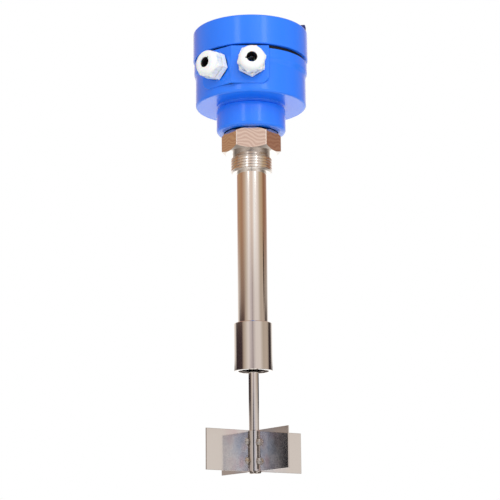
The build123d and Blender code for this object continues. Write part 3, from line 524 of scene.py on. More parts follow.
nipple = rod(
    "nipple",
    hex_across_flats / 2 / cos(radians(30)),
    hex_top - hex_bottom,
    Matrix.Rotation(radians(30), 4, "Z") @ Matrix.Translation((0, 0, hex_bottom * MM)),
    segments=6,
)
bpy.ops.object.mode_set(mode="EDIT")
bpy.ops.mesh.select_all(action="DESELECT")
bpy.ops.object.mode_set(mode="OBJECT")
for edge in nipple.data.edges:
    low_end, high_end = sorted(nipple.data.vertices[v].co.z for v in edge.vertices)
    edge.select = high_end - low_end > 1 * MM
bpy.ops.object.mode_set(mode="EDIT")
bpy.ops.mesh.select_mode(type="EDGE")
bpy.ops.mesh.bevel(offset=hex_edge_round * MM, segments=3)
bpy.ops.object.mode_set(mode="OBJECT")
flat_radius = hex_across_flats / 2
cone_rise = hex_flat_chamfer + (hex_corner_radius - flat_radius) * chamfer_rise
start_radius = flat_radius - hex_flat_chamfer / chamfer_rise
chamfer_cone = turned(
    "chamfer_cone",
    [
        (start_radius, hex_bottom),
        (hex_corner_radius, hex_bottom + cone_rise),
        (hex_corner_radius, hex_top - cone_rise),
        (start_radius, hex_top),
    ],
)
combine(nipple, chamfer_cone, "INTERSECT")

# The hexagon's edges are burnished by spanners, and catch more of the light than its flats.
burnished, tree, shader = finish_of("burnished_edge", Base_Color=linear("#FFF4EC"), Metallic=1.0)
place = add_node(tree, "ShaderNodeTexCoord").outputs["Object"]
rubs = add_node(tree, "ShaderNodeTexNoise", {"Vector": place, "Scale": 1 / (2 * MM), "Detail": 2.0})
rub_tone = add_node(
    tree,
    "ShaderNodeMapRange",
    {"Value": rubs.outputs["Fac"], "To Min": 0.3, "To Max": 0.5},
)
tree.links.new(rub_tone.outputs[0], shader.inputs["Roughness"])
coat(nipple, [milled, burnished, steel], "root")
soften(nipple, 0)
for face in nipple.data.polygons:
    off_flat = abs((degrees(atan2(face.normal.y, face.normal.x)) + 60) % 60 - 30)
    if abs(face.normal.z) > 0.3:
        face.material_index = 2
    elif off_flat > 3:
        face.material_index = 1

thread_steps = 16
thread_rings = [(nipple_spigot_radius, neck_top - 0.05), (nipple_spigot_radius, shoulder_top)]
thread_rings += [(shoulder_radius, shoulder_top), (shoulder_radius, hex_top - 1), (relief_radius, hex_top - 1)]
for step in range(relief_steps + 1):
    across = 2 * step / relief_steps - 1
    thread_rings.append((relief_radius + relief_hollow * across**2, hex_bottom - step * relief_height / relief_steps))
thread_span = thread_bottom
ring_count = int(-thread_span / thread_pitch * thread_steps)
for step in range(ring_count + 1):
    thread_rings.append((relief_radius + 0.02, thread_span * step / ring_count))
thread_rings += [(socket_radius, thread_bottom), (socket_radius, socket_top), (tube_bore_radius, socket_top)]
thread_rings += [(tube_bore_radius, neck_top - 7), (11.05, neck_top - 7), (11.05, neck_top - 0.05)]
thread_rings += [(nipple_spigot_radius, neck_top - 0.05)]
threads = turned("threads", thread_rings)
for vertex in threads.data.vertices:
    height = vertex.co.z / MM
    radius = vertex.co.xy.length / MM
    on_thread = relief_radius < radius < relief_radius + 0.04 and thread_bottom - 0.01 <= height <= 0.01
    if on_thread:
        turn = height / thread_pitch - atan2(vertex.co.y, vertex.co.x) / (2 * pi)
        wave_height = abs((turn % 1) * 2 - 1)
        flank = min(1, max(0, (wave_height - thread_root_share) / thread_flank_share))
        crest = thread_radius - thread_depth * (1 - flank)
        end_limit = thread_radius - thread_chamfer + (height - thread_bottom)
        start_limit = relief_radius + max(0, -height) * 1.6
        new_radius = min(crest, end_limit, start_limit)
        vertex.co.xy *= new_radius / radius
soften(threads, 0, smooth_angle=50)


# The relief groove has fine turned rings round it, and is coloured greyer than the polished steel: painted shade, for
# the recess under the hexagon.
turned_and_shaded_steel, tree, shader = finish_of(
    "turned_steel_painted_shade",
    Base_Color=linear("#BDB4AD"),
    Metallic=1.0,
    Roughness=0.14,
)
place = add_node(tree, "ShaderNodeTexCoord").outputs["Object"]
ring_lines = add_node(tree, "ShaderNodeMapping", {"Vector": place, "Scale": (0.25, 0.25, 1.0)})
tool_marks = add_node(
    tree,
    "ShaderNodeTexNoise",
    {"Vector": ring_lines.outputs[0], "Scale": 1 / (0.9 * MM), "Detail": 2.0},
)
tool_bump = add_node(
    tree,
    "ShaderNodeBump",
    {"Height": tool_marks.outputs["Fac"], "Strength": 0.5, "Distance": 0.12 * MM},
)
tree.links.new(tool_bump.outputs["Normal"], shader.inputs["Normal"])
coat(threads, [steel, turned_and_shaded_steel], "root")
# The groove's faces take the greyer colour, painted shade under the hexagon.
for face in threads.data.polygons:
    if 0 < face.center.z < hex_bottom * MM and face.center.xy.length > (relief_radius - 0.5) * MM:
        face.material_index = 1
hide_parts("hex_nipple")
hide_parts("hex_nipple")

# Extension tube
# A welded-in stainless tube, 24 mm outside, polished along its length.
tube_radius = 12.0
tube_bottom = -147.4
tube = turned(
    "tube",
    [
        (tube_bore_radius, socket_top),
        (tube_radius, socket_top),
        (tube_radius, tube_bottom),
        (tube_bore_radius, tube_bottom),
        (tube_bore_radius, socket_top),
    ],
    segments=192,
)
soften(tube, 0)
coat(tube, [steel], "root")
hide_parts("extension_tube")

# Bearing collar
# A turned stainless sleeve pushed on the tube's end. It is open below, round the shaft seal.
collar_radius = 15.1
collar_top = -135.4
collar_bottom = -173.6
seat_radius = 12.05
bearing_top = -153.0
groove_radius = 12.65
groove_bottom = -169.6
groove_top = -168.4
collar_chamfer = 0.5
collar = turned(
    "collar",
    [
        (socket_radius, collar_top),
        (collar_radius - collar_chamfer, collar_top),
        (collar_radius, collar_top - collar_chamfer),
        (collar_radius, collar_bottom + 0.3),
        (collar_radius - 0.3, collar_bottom),
        (seat_radius + 0.3, collar_bottom),
        (seat_radius, collar_bottom + 0.3),
        (seat_radius, groove_bottom),
        (groove_radius, groove_bottom),
        (groove_radius, groove_top),
        (seat_radius, groove_top),
        (seat_radius, bearing_top),
        (tube_bore_radius, bearing_top),
        (tube_bore_radius, tube_bottom),
        (socket_radius, tube_bottom),
        (socket_radius, collar_top),
    ],
    segments=192,
)
soften(collar, 0)
coat(collar, [steel], "root")
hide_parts("bearing_collar")

# Drive shaft
# A ground stainless rod from the coupling in the housing down to the paddle's hub.
shaft_radius = 4.0
shaft_groove_radius = 3.2
shaft_top = 66.4
shaft_bottom = -253.6
shaft_groove = (40.95, 42.15)
shaft = turned(
    "shaft",
    [
        (shaft_radius - 0.4, shaft_bottom),
        (shaft_radius, shaft_bottom + 0.4),
        (shaft_radius, shaft_groove[0]),
        (shaft_groove_radius, shaft_groove[0]),
        (shaft_groove_radius, shaft_groove[1]),
        (shaft_radius, shaft_groove[1]),
        (shaft_radius, shaft_top - 0.4),
        (shaft_radius - 0.4, shaft_top),
    ],
    segments=96,
)
soften(shaft, 0)
coat(shaft, [steel], "paddle")
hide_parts("drive_shaft")

# Paddle hub
# A short sleeve over the shaft's end, with the four blades welded to it.
hub_radius = 5.5
hub_top = -220.0
hub_bottom = -252.4
hub = turned(
    "hub",
    [
        (shaft_radius + 0.05, hub_top),
        (hub_radius - 0.3, hub_top),
        (hub_radius, hub_top - 0.3),
        (hub_radius, hub_bottom + 0.3),
        (hub_radius - 0.3, hub_bottom),
        (shaft_radius + 0.05, hub_bottom),
        (shaft_radius + 0.05, hub_top),
    ],
    segments=96,
)
soften(hub, 0)
coat(hub, [steel], "paddle")
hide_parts("paddle_hub")

# Paddle blades
# Four flat plates cut from polished stainless sheet, welded square to the hub.
blade_reach = 45.0
blade_thickness = 1.2
blade_top = -220.0
blade_bottom = -251.8
blade_azimuths = {"back_right": 35.0, "back_left": 125.0, "front_left": 215.0, "front_right": 305.0}

# Sheet steel with a mill polish: as bright as the tube, but flat, with a faint cloudiness. The
# heat of welding has stained it blue and rose in soft patches near the hub.
sheet_wave = 13.0
stain_size = 12.0
stain_reach = 32.0
sheet, tree, shader = finish_of("polished_stainless_sheet", Metallic=1.0, Roughness=0.07)
place = add_node(tree, "ShaderNodeTexCoord").outputs["Object"]
cloud = add_node(
    tree,
    "ShaderNodeTexNoise",
    {"Vector": place, "Scale": 1 / (sheet_wave * MM), "Detail": 1.5},
)
cloud_bump = add_node(
    tree,
    "ShaderNodeBump",
    {"Height": cloud.outputs["Fac"], "Strength": 0.4, "Distance": 0.05 * MM},
)
tree.links.new(cloud_bump.outputs["Normal"], shader.inputs["Normal"])
patches = add_node(
    tree,
    "ShaderNodeTexNoise",
    {"Vector": place, "Scale": 1 / (stain_size * MM), "Detail": 3.0},
)
stain = add_node(tree, "ShaderNodeValToRGB", {"Fac": patches.outputs["Fac"]})
stain.color_ramp.elements[0].position = 0.36
stain.color_ramp.elements[0].color = linear("#D2D5DC")
stain.color_ramp.elements[1].position = 0.64
stain.color_ramp.elements[1].color = linear("#DFD1D3")
clean_spot = stain.color_ramp.elements.new(0.5)
clean_spot.color = linear("#E2DFE0")
flat_place = add_node(tree, "ShaderNodeVectorMath", {0: place, 1: (1.0, 1.0, 0.0)}, operation="MULTIPLY")
from_hub = add_node(tree, "ShaderNodeVectorMath", {0: flat_place.outputs[0]}, operation="LENGTH")
stained = add_node(
    tree,
    "ShaderNodeMapRange",
    {"Value": from_hub.outputs["Value"], "From Min": stain_reach * MM, "From Max": 0.6 * stain_reach * MM},
)
sheet_tone = add_node(
    tree,
    "ShaderNodeMix",
    {0: stained.outputs[0], 6: linear("#E2DDD8"), 7: stain.outputs["Color"]},
    data_type="RGBA",
)
tree.links.new(sheet_tone.outputs[2], shader.inputs["Base Color"])

sheared, tree, shader = finish_of(
    "sheared_edge",
    Base_Color=linear("#A8A29C"),
    Metallic=1.0,
    Roughness=0.35,
)
place = add_node(tree, "ShaderNodeTexCoord").outputs["Object"]
burr = add_node(tree, "ShaderNodeTexNoise", {"Vector": place, "Scale": 1 / (0.8 * MM), "Detail": 2.0})
burr_bump = add_node(
    tree,
    "ShaderNodeBump",
    {"Height": burr.outputs["Fac"], "Strength": 0.2, "Distance": 0.1 * MM},
)
tree.links.new(burr_bump.outputs["Normal"], shader.inputs["Normal"])

for place_name, azimuth in blade_azimuths.items():
    middle = ((hub_radius + blade_reach) / 2, 0, (blade_top + blade_bottom) / 2)
    size = (blade_reach - hub_radius, blade_thickness, blade_top - blade_bottom)
    turn = Matrix.Rotation(radians(azimuth), 4, "Z")
    blade = block(f"{place_name}_plate", size, turn @ Matrix.Translation([c * MM for c in middle]))
    coat(blade, [sheet, sheared], "paddle")
    soften(blade, 0.25, segments=2, edge_material=1)
    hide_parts(f"{place_name}_blade")

# Weld beads
# Two round tacks hold each side of each blade to the hub, with a thin scaly run below them, left as
# welded. Three more drops close the joint under the hub.
tack_heights = (-229.4, -244.2)
tack_radius = 2.05
tack_reach = 1.9
tack_drops = ((0.0, 1.0), (1.5, 0.8), (-1.3, 0.7))
run_top = -221.5
run_bottom = -250.0
run_radius = 0.6
run_step = 0.7
under_bead_azimuths = (237.0, 276.0, 327.0)
under_bead_radius = 1.15
weld_voxel = 0.25
welded, tree, shader = finish_of("weld_metal", Metallic=1.0, Roughness=0.2)
place = add_node(tree, "ShaderNodeTexCoord").outputs["Object"]
scale_marks = add_node(
    tree,
    "ShaderNodeTexNoise",
    {"Vector": place, "Scale": 1 / (1.3 * MM), "Detail": 3.0},
)
heat_tint = add_node(
    tree,
    "ShaderNodeTexNoise",
    {"Vector": place, "Scale": 1 / (7 * MM), "Detail": 1.0},
)
tint = add_node(tree, "ShaderNodeValToRGB", {"Fac": heat_tint.outputs["Fac"]})
tint.color_ramp.elements[0].position = 0.55
tint.color_ramp.elements[0].color = linear("#A8A5A2")
tint.color_ramp.elements[1].position = 0.8
tint.color_ramp.elements[1].color = linear("#A8906A")
tree.links.new(tint.outputs["Color"], shader.inputs["Base Color"])
weld_bump = add_node(
    tree,
    "ShaderNodeBump",
    {"Height": scale_marks.outputs["Fac"], "Strength": 0.2, "Distance": 0.2 * MM},
)
tree.links.new(weld_bump.outputs["Normal"], shader.inputs["Normal"])

# Between the tacks the seam is only scorched: a brown-grey scale with a dull gleam.
burnt, tree, shader = finish_of(
    "scorched_seam",
    Base_Color=linear("#6A625C"),
    Metallic=1.0,
    Roughness=0.42,
)
place = add_node(tree, "ShaderNodeTexCoord").outputs["Object"]
scorch = add_node(tree, "ShaderNodeTexNoise", {"Vector": place, "Scale": 1 / (1.0 * MM), "Detail": 3.0})
scorch_bump = add_node(
    tree,
    "ShaderNodeBump",
    {"Height": scorch.outputs["Fac"], "Strength": 0.3, "Distance": 0.2 * MM},
)
tree.links.new(scorch_bump.outputs["Normal"], shader.inputs["Normal"])


def melt(name, spots, metal):
    """Melts drops of metal, each a place and a radius in millimetres, into one bead."""
    bpy.ops.object.select_all(action="DESELECT")
    beads = []
    for spot, radius in spots:
        bpy.ops.mesh.primitive_uv_sphere_add(
            segments=20,
            ring_count=12,
            radius=radius * MM,
            location=spot * MM,
        )
        beads.append(bpy.context.object)
    for bead in beads:
        bead.select_set(True)
    bpy.context.view_layer.objects.active = beads[0]
    bpy.ops.object.join()
    weld = bpy.context.object
    weld.name = name
    bpy.ops.object.transform_apply(location=True, rotation=True, scale=True)
    melted = weld.modifiers.new("melted", "REMESH")
    melted.mode = "VOXEL"
    melted.voxel_size = weld_voxel * MM
    bpy.ops.object.modifier_apply(modifier=melted.name)
    even = weld.modifiers.new("even", "SMOOTH")
    even.iterations = 3
    bpy.ops.object.modifier_apply(modifier=even.name)
    bpy.ops.object.shade_smooth()
    coat(weld, [metal], "paddle")


drops = Random(7)
for place_name, azimuth in blade_azimuths.items():
    for side_sign, side_name in ((-1, "right"), (1, "left")):
        turn = Matrix.Rotation(radians(azimuth), 4, "Z")
        spots = []
        for height in tack_heights:
            across_blade = side_sign * (blade_thickness / 2 + 0.1)
            tack_height = height + drops.uniform(-0.5, 0.5)
            along = hub_radius + tack_reach
            radius = tack_radius * drops.uniform(0.85, 1.1)
            for rise, share in tack_drops:
                place = turn @ Vector((along, across_blade, tack_height + rise))
                spots.append((place, radius * share))
        melt(f"{place_name}_tacks_{side_name}", spots, welded)
        spots = []
        height = run_top
        while height > run_bottom:
            along = hub_radius + drops.uniform(0.0, 0.4)
            across_blade = side_sign * (blade_thickness / 2 + drops.uniform(0.0, 0.35))
            radius = run_radius * drops.uniform(0.75, 1.25)
            spots.append((turn @ Vector((along, across_blade, height)), radius))
            height -= run_step * drops.uniform(0.8, 1.5)
        melt(f"{place_name}_seam_{side_name}", spots, burnt)
under_spots = []
for azimuth in under_bead_azimuths:
    turn = Matrix.Rotation(radians(azimuth), 4, "Z")
    under_spots.append((turn @ Vector((hub_radius - 0.6, 0, hub_bottom + 0.1)), under_bead_radius))
melt("hub_weld", under_spots, burnt)

# Cable glands
# Moulded white nylon: a hexagon body screwed into the facet, and a domed nut that squeezes a black
# rubber seal on to the cable. Both glands are the same moulding, with their nuts at other turns.
gland_across_flats = 20.4
washer_thickness = 0.8
washer_radius = 10.3
gland_hex_top = 6.3
gland_neck_top = 12.9
gland_neck_radius = 8.6
gland_bore_radius = 5.6
gland_thread_radius = 9.25
gland_thread_end = -7.5
nut_bottom = 6.6
nut_skirt = 7.1
nut_hex_top = 12.1
nut_top = 16.4
nut_dome_radius = 10.4
nut_dome_round = 4.0
nut_bore_radius = 8.65
nut_hole_radius = 4.2
nut_cavity_top = 15.0
seal_radius = 6.95
seal_bore_radius = 3.5
seal_start = 7.3
seal_front = 14.3
nut_turns = {"left": 40.0, "right": 12.0}
body_turns = {"left": 45.0, "right": 32.0}
nick_turns = {"left": 47.0, "right": 188.0}
nick_size = (2.2, 1.2, 3.6)

# White nylon, moulded: a soft sheen over a slightly translucent, cool white.
nylon, tree, shader = finish_of(
    "white_nylon",
    Base_Color=linear("#F6F7F6"),
    Roughness=0.34,
    IOR=1.53,
    Subsurface_Weight=0.25,
    Subsurface_Scale=0.002,
)
place = add_node(tree, "ShaderNodeTexCoord").outputs["Object"]
grain = add_node(tree, "ShaderNodeTexNoise", {"Vector": place, "Scale": 1 / (0.8 * MM), "Detail": 2.0})
grain_bump = add_node(
    tree,
    "ShaderNodeBump",
    {"Height": grain.outputs["Fac"], "Strength": 0.08, "Distance": 0.2 * MM},
)
tree.links.new(grain_bump.outputs["Normal"], shader.inputs["Normal"])

# Black nitrile rubber: nearly black, matt, with the fine dust that gives it a soft grey bloom.
rubber, tree, shader = finish_of(
    "black_rubber",
    Base_Color=linear("#0E0E12"),
    Roughness=0.5,
    Specular_IOR_Level=0.35,
)
place = add_node(tree, "ShaderNodeTexCoord").outputs["Object"]
dust = add_node(tree, "ShaderNodeTexNoise", {"Vector": place, "Scale": 1 / (1.0 * MM), "Detail": 3.0})
dust_tint = add_node(tree, "ShaderNodeValToRGB", {"Fac": dust.outputs["Fac"]})
dust_tint.color_ramp.elements[0].position = 0.4
dust_tint.color_ramp.elements[0].color = linear("#0A0A0E")
dust_tint.color_ramp.elements[1].position = 0.8
dust_tint.color_ramp.elements[1].color = linear("#1A1C1E")
tree.links.new(dust_tint.outputs["Color"], shader.inputs["Base Color"])


def hexagon(name, bottom, top, turn, chamfer):
    """A hexagon of the gland's width across flats, with its corners cut back at its top."""
    corner = gland_across_flats / 2 / cos(radians(30))
    turned_place = Matrix.Rotation(radians(turn), 4, "Z") @ Matrix.Translation((0, 0, bottom * MM))
    piece = rod(name, corner, top - bottom, turned_place @ Matrix.Rotation(radians(30), 4, "Z"), segments=6)
    limit = turned(
        "limit",
        [
            (corner + 0.1, bottom),
            (corner + 0.1, top - chamfer * 0.6),
            (corner + 0.1 - chamfer, top),
        ],
        segments=96,
    )
    combine(piece, limit, "INTERSECT")
    return piece


for side in gland_azimuths:
    outwards = gland_matrix(side)
    gland = hexagon("gland", washer_thickness, gland_hex_top, body_turns[side], 1.6)
    stem = turned(
        "stem",
        [
            (gland_thread_radius, gland_thread_end),
            (gland_thread_radius, washer_thickness + 1),
            (gland_neck_radius, washer_thickness + 1),
            (gland_neck_radius, gland_neck_top),
        ],
        segments=96,
    )
    combine(gland, stem, "UNION")
    gland_bore = rod(
        "gland_bore",
        gland_bore_radius,
        30,
        Matrix.Translation((0, 0, -10 * MM)),
    )
    combine(gland, gland_bore, "DIFFERENCE")
    seal_seat = rod("seal_seat", seal_radius + 0.05, 10, Matrix.Translation((0, 0, seal_start * MM)))
    combine(gland, seal_seat, "DIFFERENCE")
    soften(gland, 0.35, segments=2)
    gland.data.transform(outwards)
    gland.name = f"{side}_gland"
    coat(gland, [nylon], "root")
    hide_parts(f"{side}_gland_body")

    nut = hexagon("nut", nut_bottom, nut_hex_top, nut_turns[side], 1.6)
    dome_rings = [(nut_dome_radius, nut_skirt), (nut_dome_radius, nut_top - nut_dome_round)]
    for step in range(1, 9):
        angle = radians(90 * step / 8)
        dome_radius = nut_dome_radius - nut_dome_round * (1 - cos(angle))
        dome_rings.append((dome_radius, nut_top - nut_dome_round * (1 - sin(angle))))
    dome = turned("dome", dome_rings, segments=96)
    combine(nut, dome, "UNION")
    cavity = turned(
        "cavity",
        [
            (nut_bore_radius, nut_bottom - 1),
            (nut_bore_radius, gland_neck_top + 0.3),
            (seal_radius + 0.35, nut_cavity_top),
            (nut_hole_radius, nut_cavity_top),
            (nut_hole_radius, nut_top + 1),
        ],
        segments=96,
    )
    combine(nut, cavity, "DIFFERENCE")
    nick_turn = Matrix.Rotation(radians(nick_turns[side]), 4, "Z")
    nick_place = Matrix.Translation((nut_hole_radius * MM, 0, nut_top * MM))
    combine(nut, block("nick", nick_size, nick_turn @ nick_place), "DIFFERENCE")
    soften(nut, 0.35, segments=2, smooth_angle=32)
    nut.data.transform(outwards)
    nut.name = f"{side}_nut"
    coat(nut, [nylon], f"{side}_nut")
    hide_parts(f"{side}_gland_nut")

    seal = turned(
        "seal",
        [
            (seal_bore_radius, seal_start),
            (seal_radius, seal_start),
            (seal_radius, seal_front - 0.4),
            (seal_radius - 0.4, seal_front),
            (seal_bore_radius + 0.6, seal_front),
            (seal_bore_radius + 0.2, seal_front - 0.2),
            (seal_bore_radius, seal_front - 0.7),
            (seal_bore_radius, seal_start),
        ],
        segments=96,
    )
    soften(seal, 0)
    seal.data.transform(outwards)
    seal.name = f"{side}_seal"
    coat(seal, [rubber], "root")
    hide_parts(f"{side}_gland_seal")

# Lid gasket
# A flat ring of black rubber in the gap under the lid.
gasket_rings = [(37.8, 78.95), (44.3, 78.95), (44.3, 81.95), (37.8, 81.95), (37.8, 78.95)]
gasket = turned("gasket", gasket_rings)
soften(gasket, 0.3, segments=2)
coat(gasket, [rubber], "lid_seal")
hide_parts("lid_gasket")

# Pieces inside
# What the lid and the tube hide keeps its solid, and takes the finish of its own metal or plastic.
zinc, tree, shader = finish_of(
    "bright_zinc_plate",
    Base_Color=linear("#C9CBD0"),
    Metallic=1.0,
    Roughness=0.28,
)
place = add_node(tree, "ShaderNodeTexCoord").outputs["Object"]
spangle = add_node(tree, "ShaderNodeTexVoronoi", {"Vector": place, "Scale": 1 / (3 * MM)})
spangle_tone = add_node(
    tree,
    "ShaderNodeMapRange",
    {"Value": spangle.outputs["Distance"], "To Min": 0.24, "To Max": 0.36},
)
tree.links.new(spangle_tone.outputs[0], shader.inputs["Roughness"])

rolled, tree, shader = finish_of(
    "rolled_aluminium",
    Base_Color=linear("#D3D6D8"),
    Metallic=1.0,
    Roughness=0.32,
)
place = add_node(tree, "ShaderNodeTexCoord").outputs["Object"]
rolling = add_node(tree, "ShaderNodeMapping", {"Vector": place, "Scale": (0.05, 1.0, 1.0)})
lines = add_node(tree, "ShaderNodeTexNoise", {"Vector": rolling.outputs[0], "Scale": 1 / (0.6 * MM)})
lines_bump = add_node(
    tree,
    "ShaderNodeBump",
    {"Height": lines.outputs["Fac"], "Strength": 0.2, "Distance": 0.1 * MM},
)
tree.links.new(lines_bump.outputs["Normal"], shader.inputs["Normal"])

bronze, tree, shader = finish_of(
    "sintered_bronze",
    Base_Color=linear("#B5854A"),
    Metallic=1.0,
    Roughness=0.36,
)
place = add_node(tree, "ShaderNodeTexCoord").outputs["Object"]
pores = add_node(tree, "ShaderNodeTexNoise", {"Vector": place, "Scale": 1 / (0.7 * MM), "Detail": 4.0})
pores_bump = add_node(
    tree,
    "ShaderNodeBump",
    {"Height": pores.outputs["Fac"], "Strength": 0.3, "Distance": 0.1 * MM},
)
tree.links.new(pores_bump.outputs["Normal"], shader.inputs["Normal"])

acetal, tree, shader = finish_of(
    "natural_acetal",
    Base_Color=linear("#E2DCCB"),
    Roughness=0.4,
    IOR=1.48,
    Subsurface_Weight=0.15,
    Subsurface_Scale=0.001,
)
place = add_node(tree, "ShaderNodeTexCoord").outputs["Object"]
shade = add_node(tree, "ShaderNodeTexNoise", {"Vector": place, "Scale": 1 / (5 * MM)})
shade_tone = add_node(
    tree,
    "ShaderNodeMapRange",
    {"Value": shade.outputs["Fac"], "To Min": 0.34, "To Max": 0.46},
)
tree.links.new(shade_tone.outputs[0], shader.inputs["Roughness"])

black_case, tree, shader = finish_of(
    "black_moulded_case",
    Base_Color=linear("#1B1B1E"),
    Roughness=0.5,
    IOR=1.54,
)
place = add_node(tree, "ShaderNodeTexCoord").outputs["Object"]
texture = add_node(tree, "ShaderNodeTexNoise", {"Vector": place, "Scale": 1 / (0.5 * MM), "Detail": 3.0})
texture_bump = add_node(
    tree,
    "ShaderNodeBump",
    {"Height": texture.outputs["Fac"], "Strength": 0.25, "Distance": 0.1 * MM},
)
tree.links.new(texture_bump.outputs["Normal"], shader.inputs["Normal"])

green_case, tree, shader = finish_of(
    "green_polyamide",
    Base_Color=linear("#2C7A4B"),
    Roughness=0.38,
    IOR=1.53,
)
place = add_node(tree, "ShaderNodeTexCoord").outputs["Object"]
moulding = add_node(tree, "ShaderNodeTexNoise", {"Vector": place, "Scale": 1 / (0.9 * MM), "Detail": 2.0})
moulding_bump = add_node(
    tree,
    "ShaderNodeBump",
    {"Height": moulding.outputs["Fac"], "Strength": 0.15, "Distance": 0.1 * MM},
)
tree.links.new(moulding_bump.outputs["Normal"], shader.inputs["Normal"])

inside_finishes = {
    "zinc_plated_steel": zinc,
    "spring_steel": zinc,
    "bearing_steel": steel,
    "stainless_steel": steel,
    "motor_shaft_steel": steel,
    "motor_can": zinc,
    "plate_aluminium": rolled,
    "bush_bronze": bronze,
    "bearing_plastic": acetal,
    "switch_black": black_case,
    "terminal_green": green_case,
    "black_rubber": rubber,
    "white_nylon": nylon,
    "blue_enamel": enamel,
}
for part in frame["record"]["subparts"]:
    node = frame["nodes"][part["node"]]
    node.data.materials.clear()
    node.data.materials.append(inside_finishes[part["material_slot"]])

# Floor
# A pale floor a good way under the hanging switch. Polished metal shows it from above, and there its
# colour carries painted shade: dark sectors like the shadows of stands. Each stop is an angle round
# the object from the camera's side, and a colour.
floor_height = -0.9
floor_size = 14.0
floor_glow = 0.45
floor_painted_shades = (
    (-180, "#FFFFFF"),
    (-160, "#F4F0EC"),
    (-118, "#8C847E"),
    (-76, "#B8AEA6"),
    (-44, "#E8E4E0"),
    (-12, "#D2CCC8"),
    (0, "#A8A4A4"),
    (14, "#DCD8D4"),
    (48, "#F4F0EE"),
    (80, "#A49A90"),
    (104, "#7C746E"),
    (134, "#CCC6C0"),
    (162, "#F8F6F4"),
    (180, "#FFFFFF"),
)


def angle_round(tree, place):
    """The angle round the upright axis, from -Y towards +X, in radians."""
    parts = add_node(tree, "ShaderNodeSeparateXYZ", {"Vector": place})
    towards = add_node(tree, "ShaderNodeMath", {0: parts.outputs["Y"], 1: -1.0}, operation="MULTIPLY")
    angle = add_node(
        tree,
        "ShaderNodeMath",
        {0: parts.outputs["X"], 1: towards.outputs[0]},
        operation="ARCTAN2",
    )
    return angle


def stops_round(tree, angle, stops):
    """A colour for each angle, blended between stops of an angle in degrees and a colour."""
    round_share = add_node(
        tree,
        "ShaderNodeMapRange",
        {"Value": angle.outputs[0], "From Min": -pi, "From Max": pi},
    )
    ramp = add_node(tree, "ShaderNodeValToRGB", {"Fac": round_share.outputs[0]})
    elements = ramp.color_ramp.elements
    elements.remove(elements[-1])
    for index, (degrees_round, colour) in enumerate(stops):
        position = (degrees_round + 180) / 360
        element = elements[0] if index == 0 else elements.new(position)
        element.position = position
        element.color = linear(colour)
    return ramp.outputs["Color"]


bpy.ops.object.select_all(action="DESELECT")
bpy.ops.mesh.primitive_plane_add(size=floor_size, location=(0, 0, floor_height))
floor = bpy.context.object
floor.name = "floor"
floor_paint, tree, shader = finish_of(
    "pale_floor",
    Roughness=0.9,
    Specular_IOR_Level=0.0,
)
floor_place = add_node(tree, "ShaderNodeTexCoord").outputs["Object"]
shade = stops_round(tree, angle_round(tree, floor_place), floor_painted_shades)
sight = add_node(tree, "ShaderNodeLightPath")
# Mirror rays see the floor's painted shade, and the camera sees it plain white.
floor_tone = add_node(
    tree,
    "ShaderNodeMix",
    {0: sight.outputs["Is Glossy Ray"], 6: linear("#FAFAFA"), 7: shade},
    data_type="RGBA",
)
tree.links.new(floor_tone.outputs[2], shader.inputs["Base Color"])
seen = add_node(
    tree,
    "ShaderNodeMath",
    {0: sight.outputs["Is Camera Ray"], 1: sight.outputs["Is Glossy Ray"]},
    operation="MAXIMUM",
)
lift = add_node(tree, "ShaderNodeMath", {0: seen.outputs[0], 1: floor_glow}, operation="MULTIPLY")
tree.links.new(lift.outputs[0], shader.inputs["Emission Strength"])
tree.links.new(floor_tone.outputs[2], shader.inputs["Emission Color"])
floor.data.materials.append(floor_paint)

# Room and lamps
# A white backdrop stands behind the object. Polished metal also shows the rest of the studio:
# brown walls and dark doorways at its sides, pale boards in front, and two tall soft boxes.
# Each wall is a row of stops: an angle round the object from the camera's side, to the right,
# and a colour. The three rows stand above each other, for what the head, tube and paddle reflect.
upper_walls = (
    (-180, "#FFFFFF"),
    (-162, "#F0E4DE"),
    (-146, "#B48C80"),
    (-120, "#B4906E"),
    (-84, "#AA8064"),
    (-56, "#C8B09A"),
    (-38, "#E0D4CC"),
    (-28, "#F6F2F0"),
    (-8, "#E0CCBF"),
    (4, "#E4D2C6"),
    (16, "#FFFFFF"),
    (40, "#F0E4DE"),
    (62, "#C0AC90"),
    (84, "#B89878"),
    (100, "#90664E"),
    (118, "#9C745C"),
    (144, "#B49488"),
    (162, "#F4E8E2"),
    (180, "#FFFFFF"),
)
middle_walls = (
    (-180, "#FFFFFF"),
    (-150, "#E8DED6"),
    (-128, "#CAC0B8"),
    (-96, "#907868"),
    (-70, "#947E70"),
    (-52, "#BCAEA0"),
    (-30, "#E2D8D2"),
    (-14, "#C6BABA"),
    (-4, "#B4A8A8"),
    (-2, "#7C7478"),
    (0, "#B8ACAA"),
    (16, "#DCD2CC"),
    (40, "#DED4CE"),
    (62, "#B4A698"),
    (86, "#BCAC9E"),
    (112, "#A89A8E"),
    (130, "#A09890"),
    (152, "#F4EEEA"),
    (180, "#FFFFFF"),
)
lower_walls = (
    (-180, "#FFFFFF"),
    (-150, "#E8DED6"),
    (-122, "#B2A6A0"),
    (-100, "#948882"),
    (-60, "#B4A89E"),
    (-30, "#C4BCB8"),
    (-12, "#AAAEBE"),
    (12, "#C2C2CE"),
    (36, "#D4CECA"),
    (62, "#DAD4D0"),
    (84, "#D8D0CA"),
    (104, "#6A625E"),
    (124, "#A8A09A"),
    (152, "#F0ECE8"),
    (180, "#FFFFFF"),
)
middle_top = (sin(radians(11.2)), sin(radians(13.8)))
lower_top = (sin(radians(6.4)), sin(radians(7.8)))
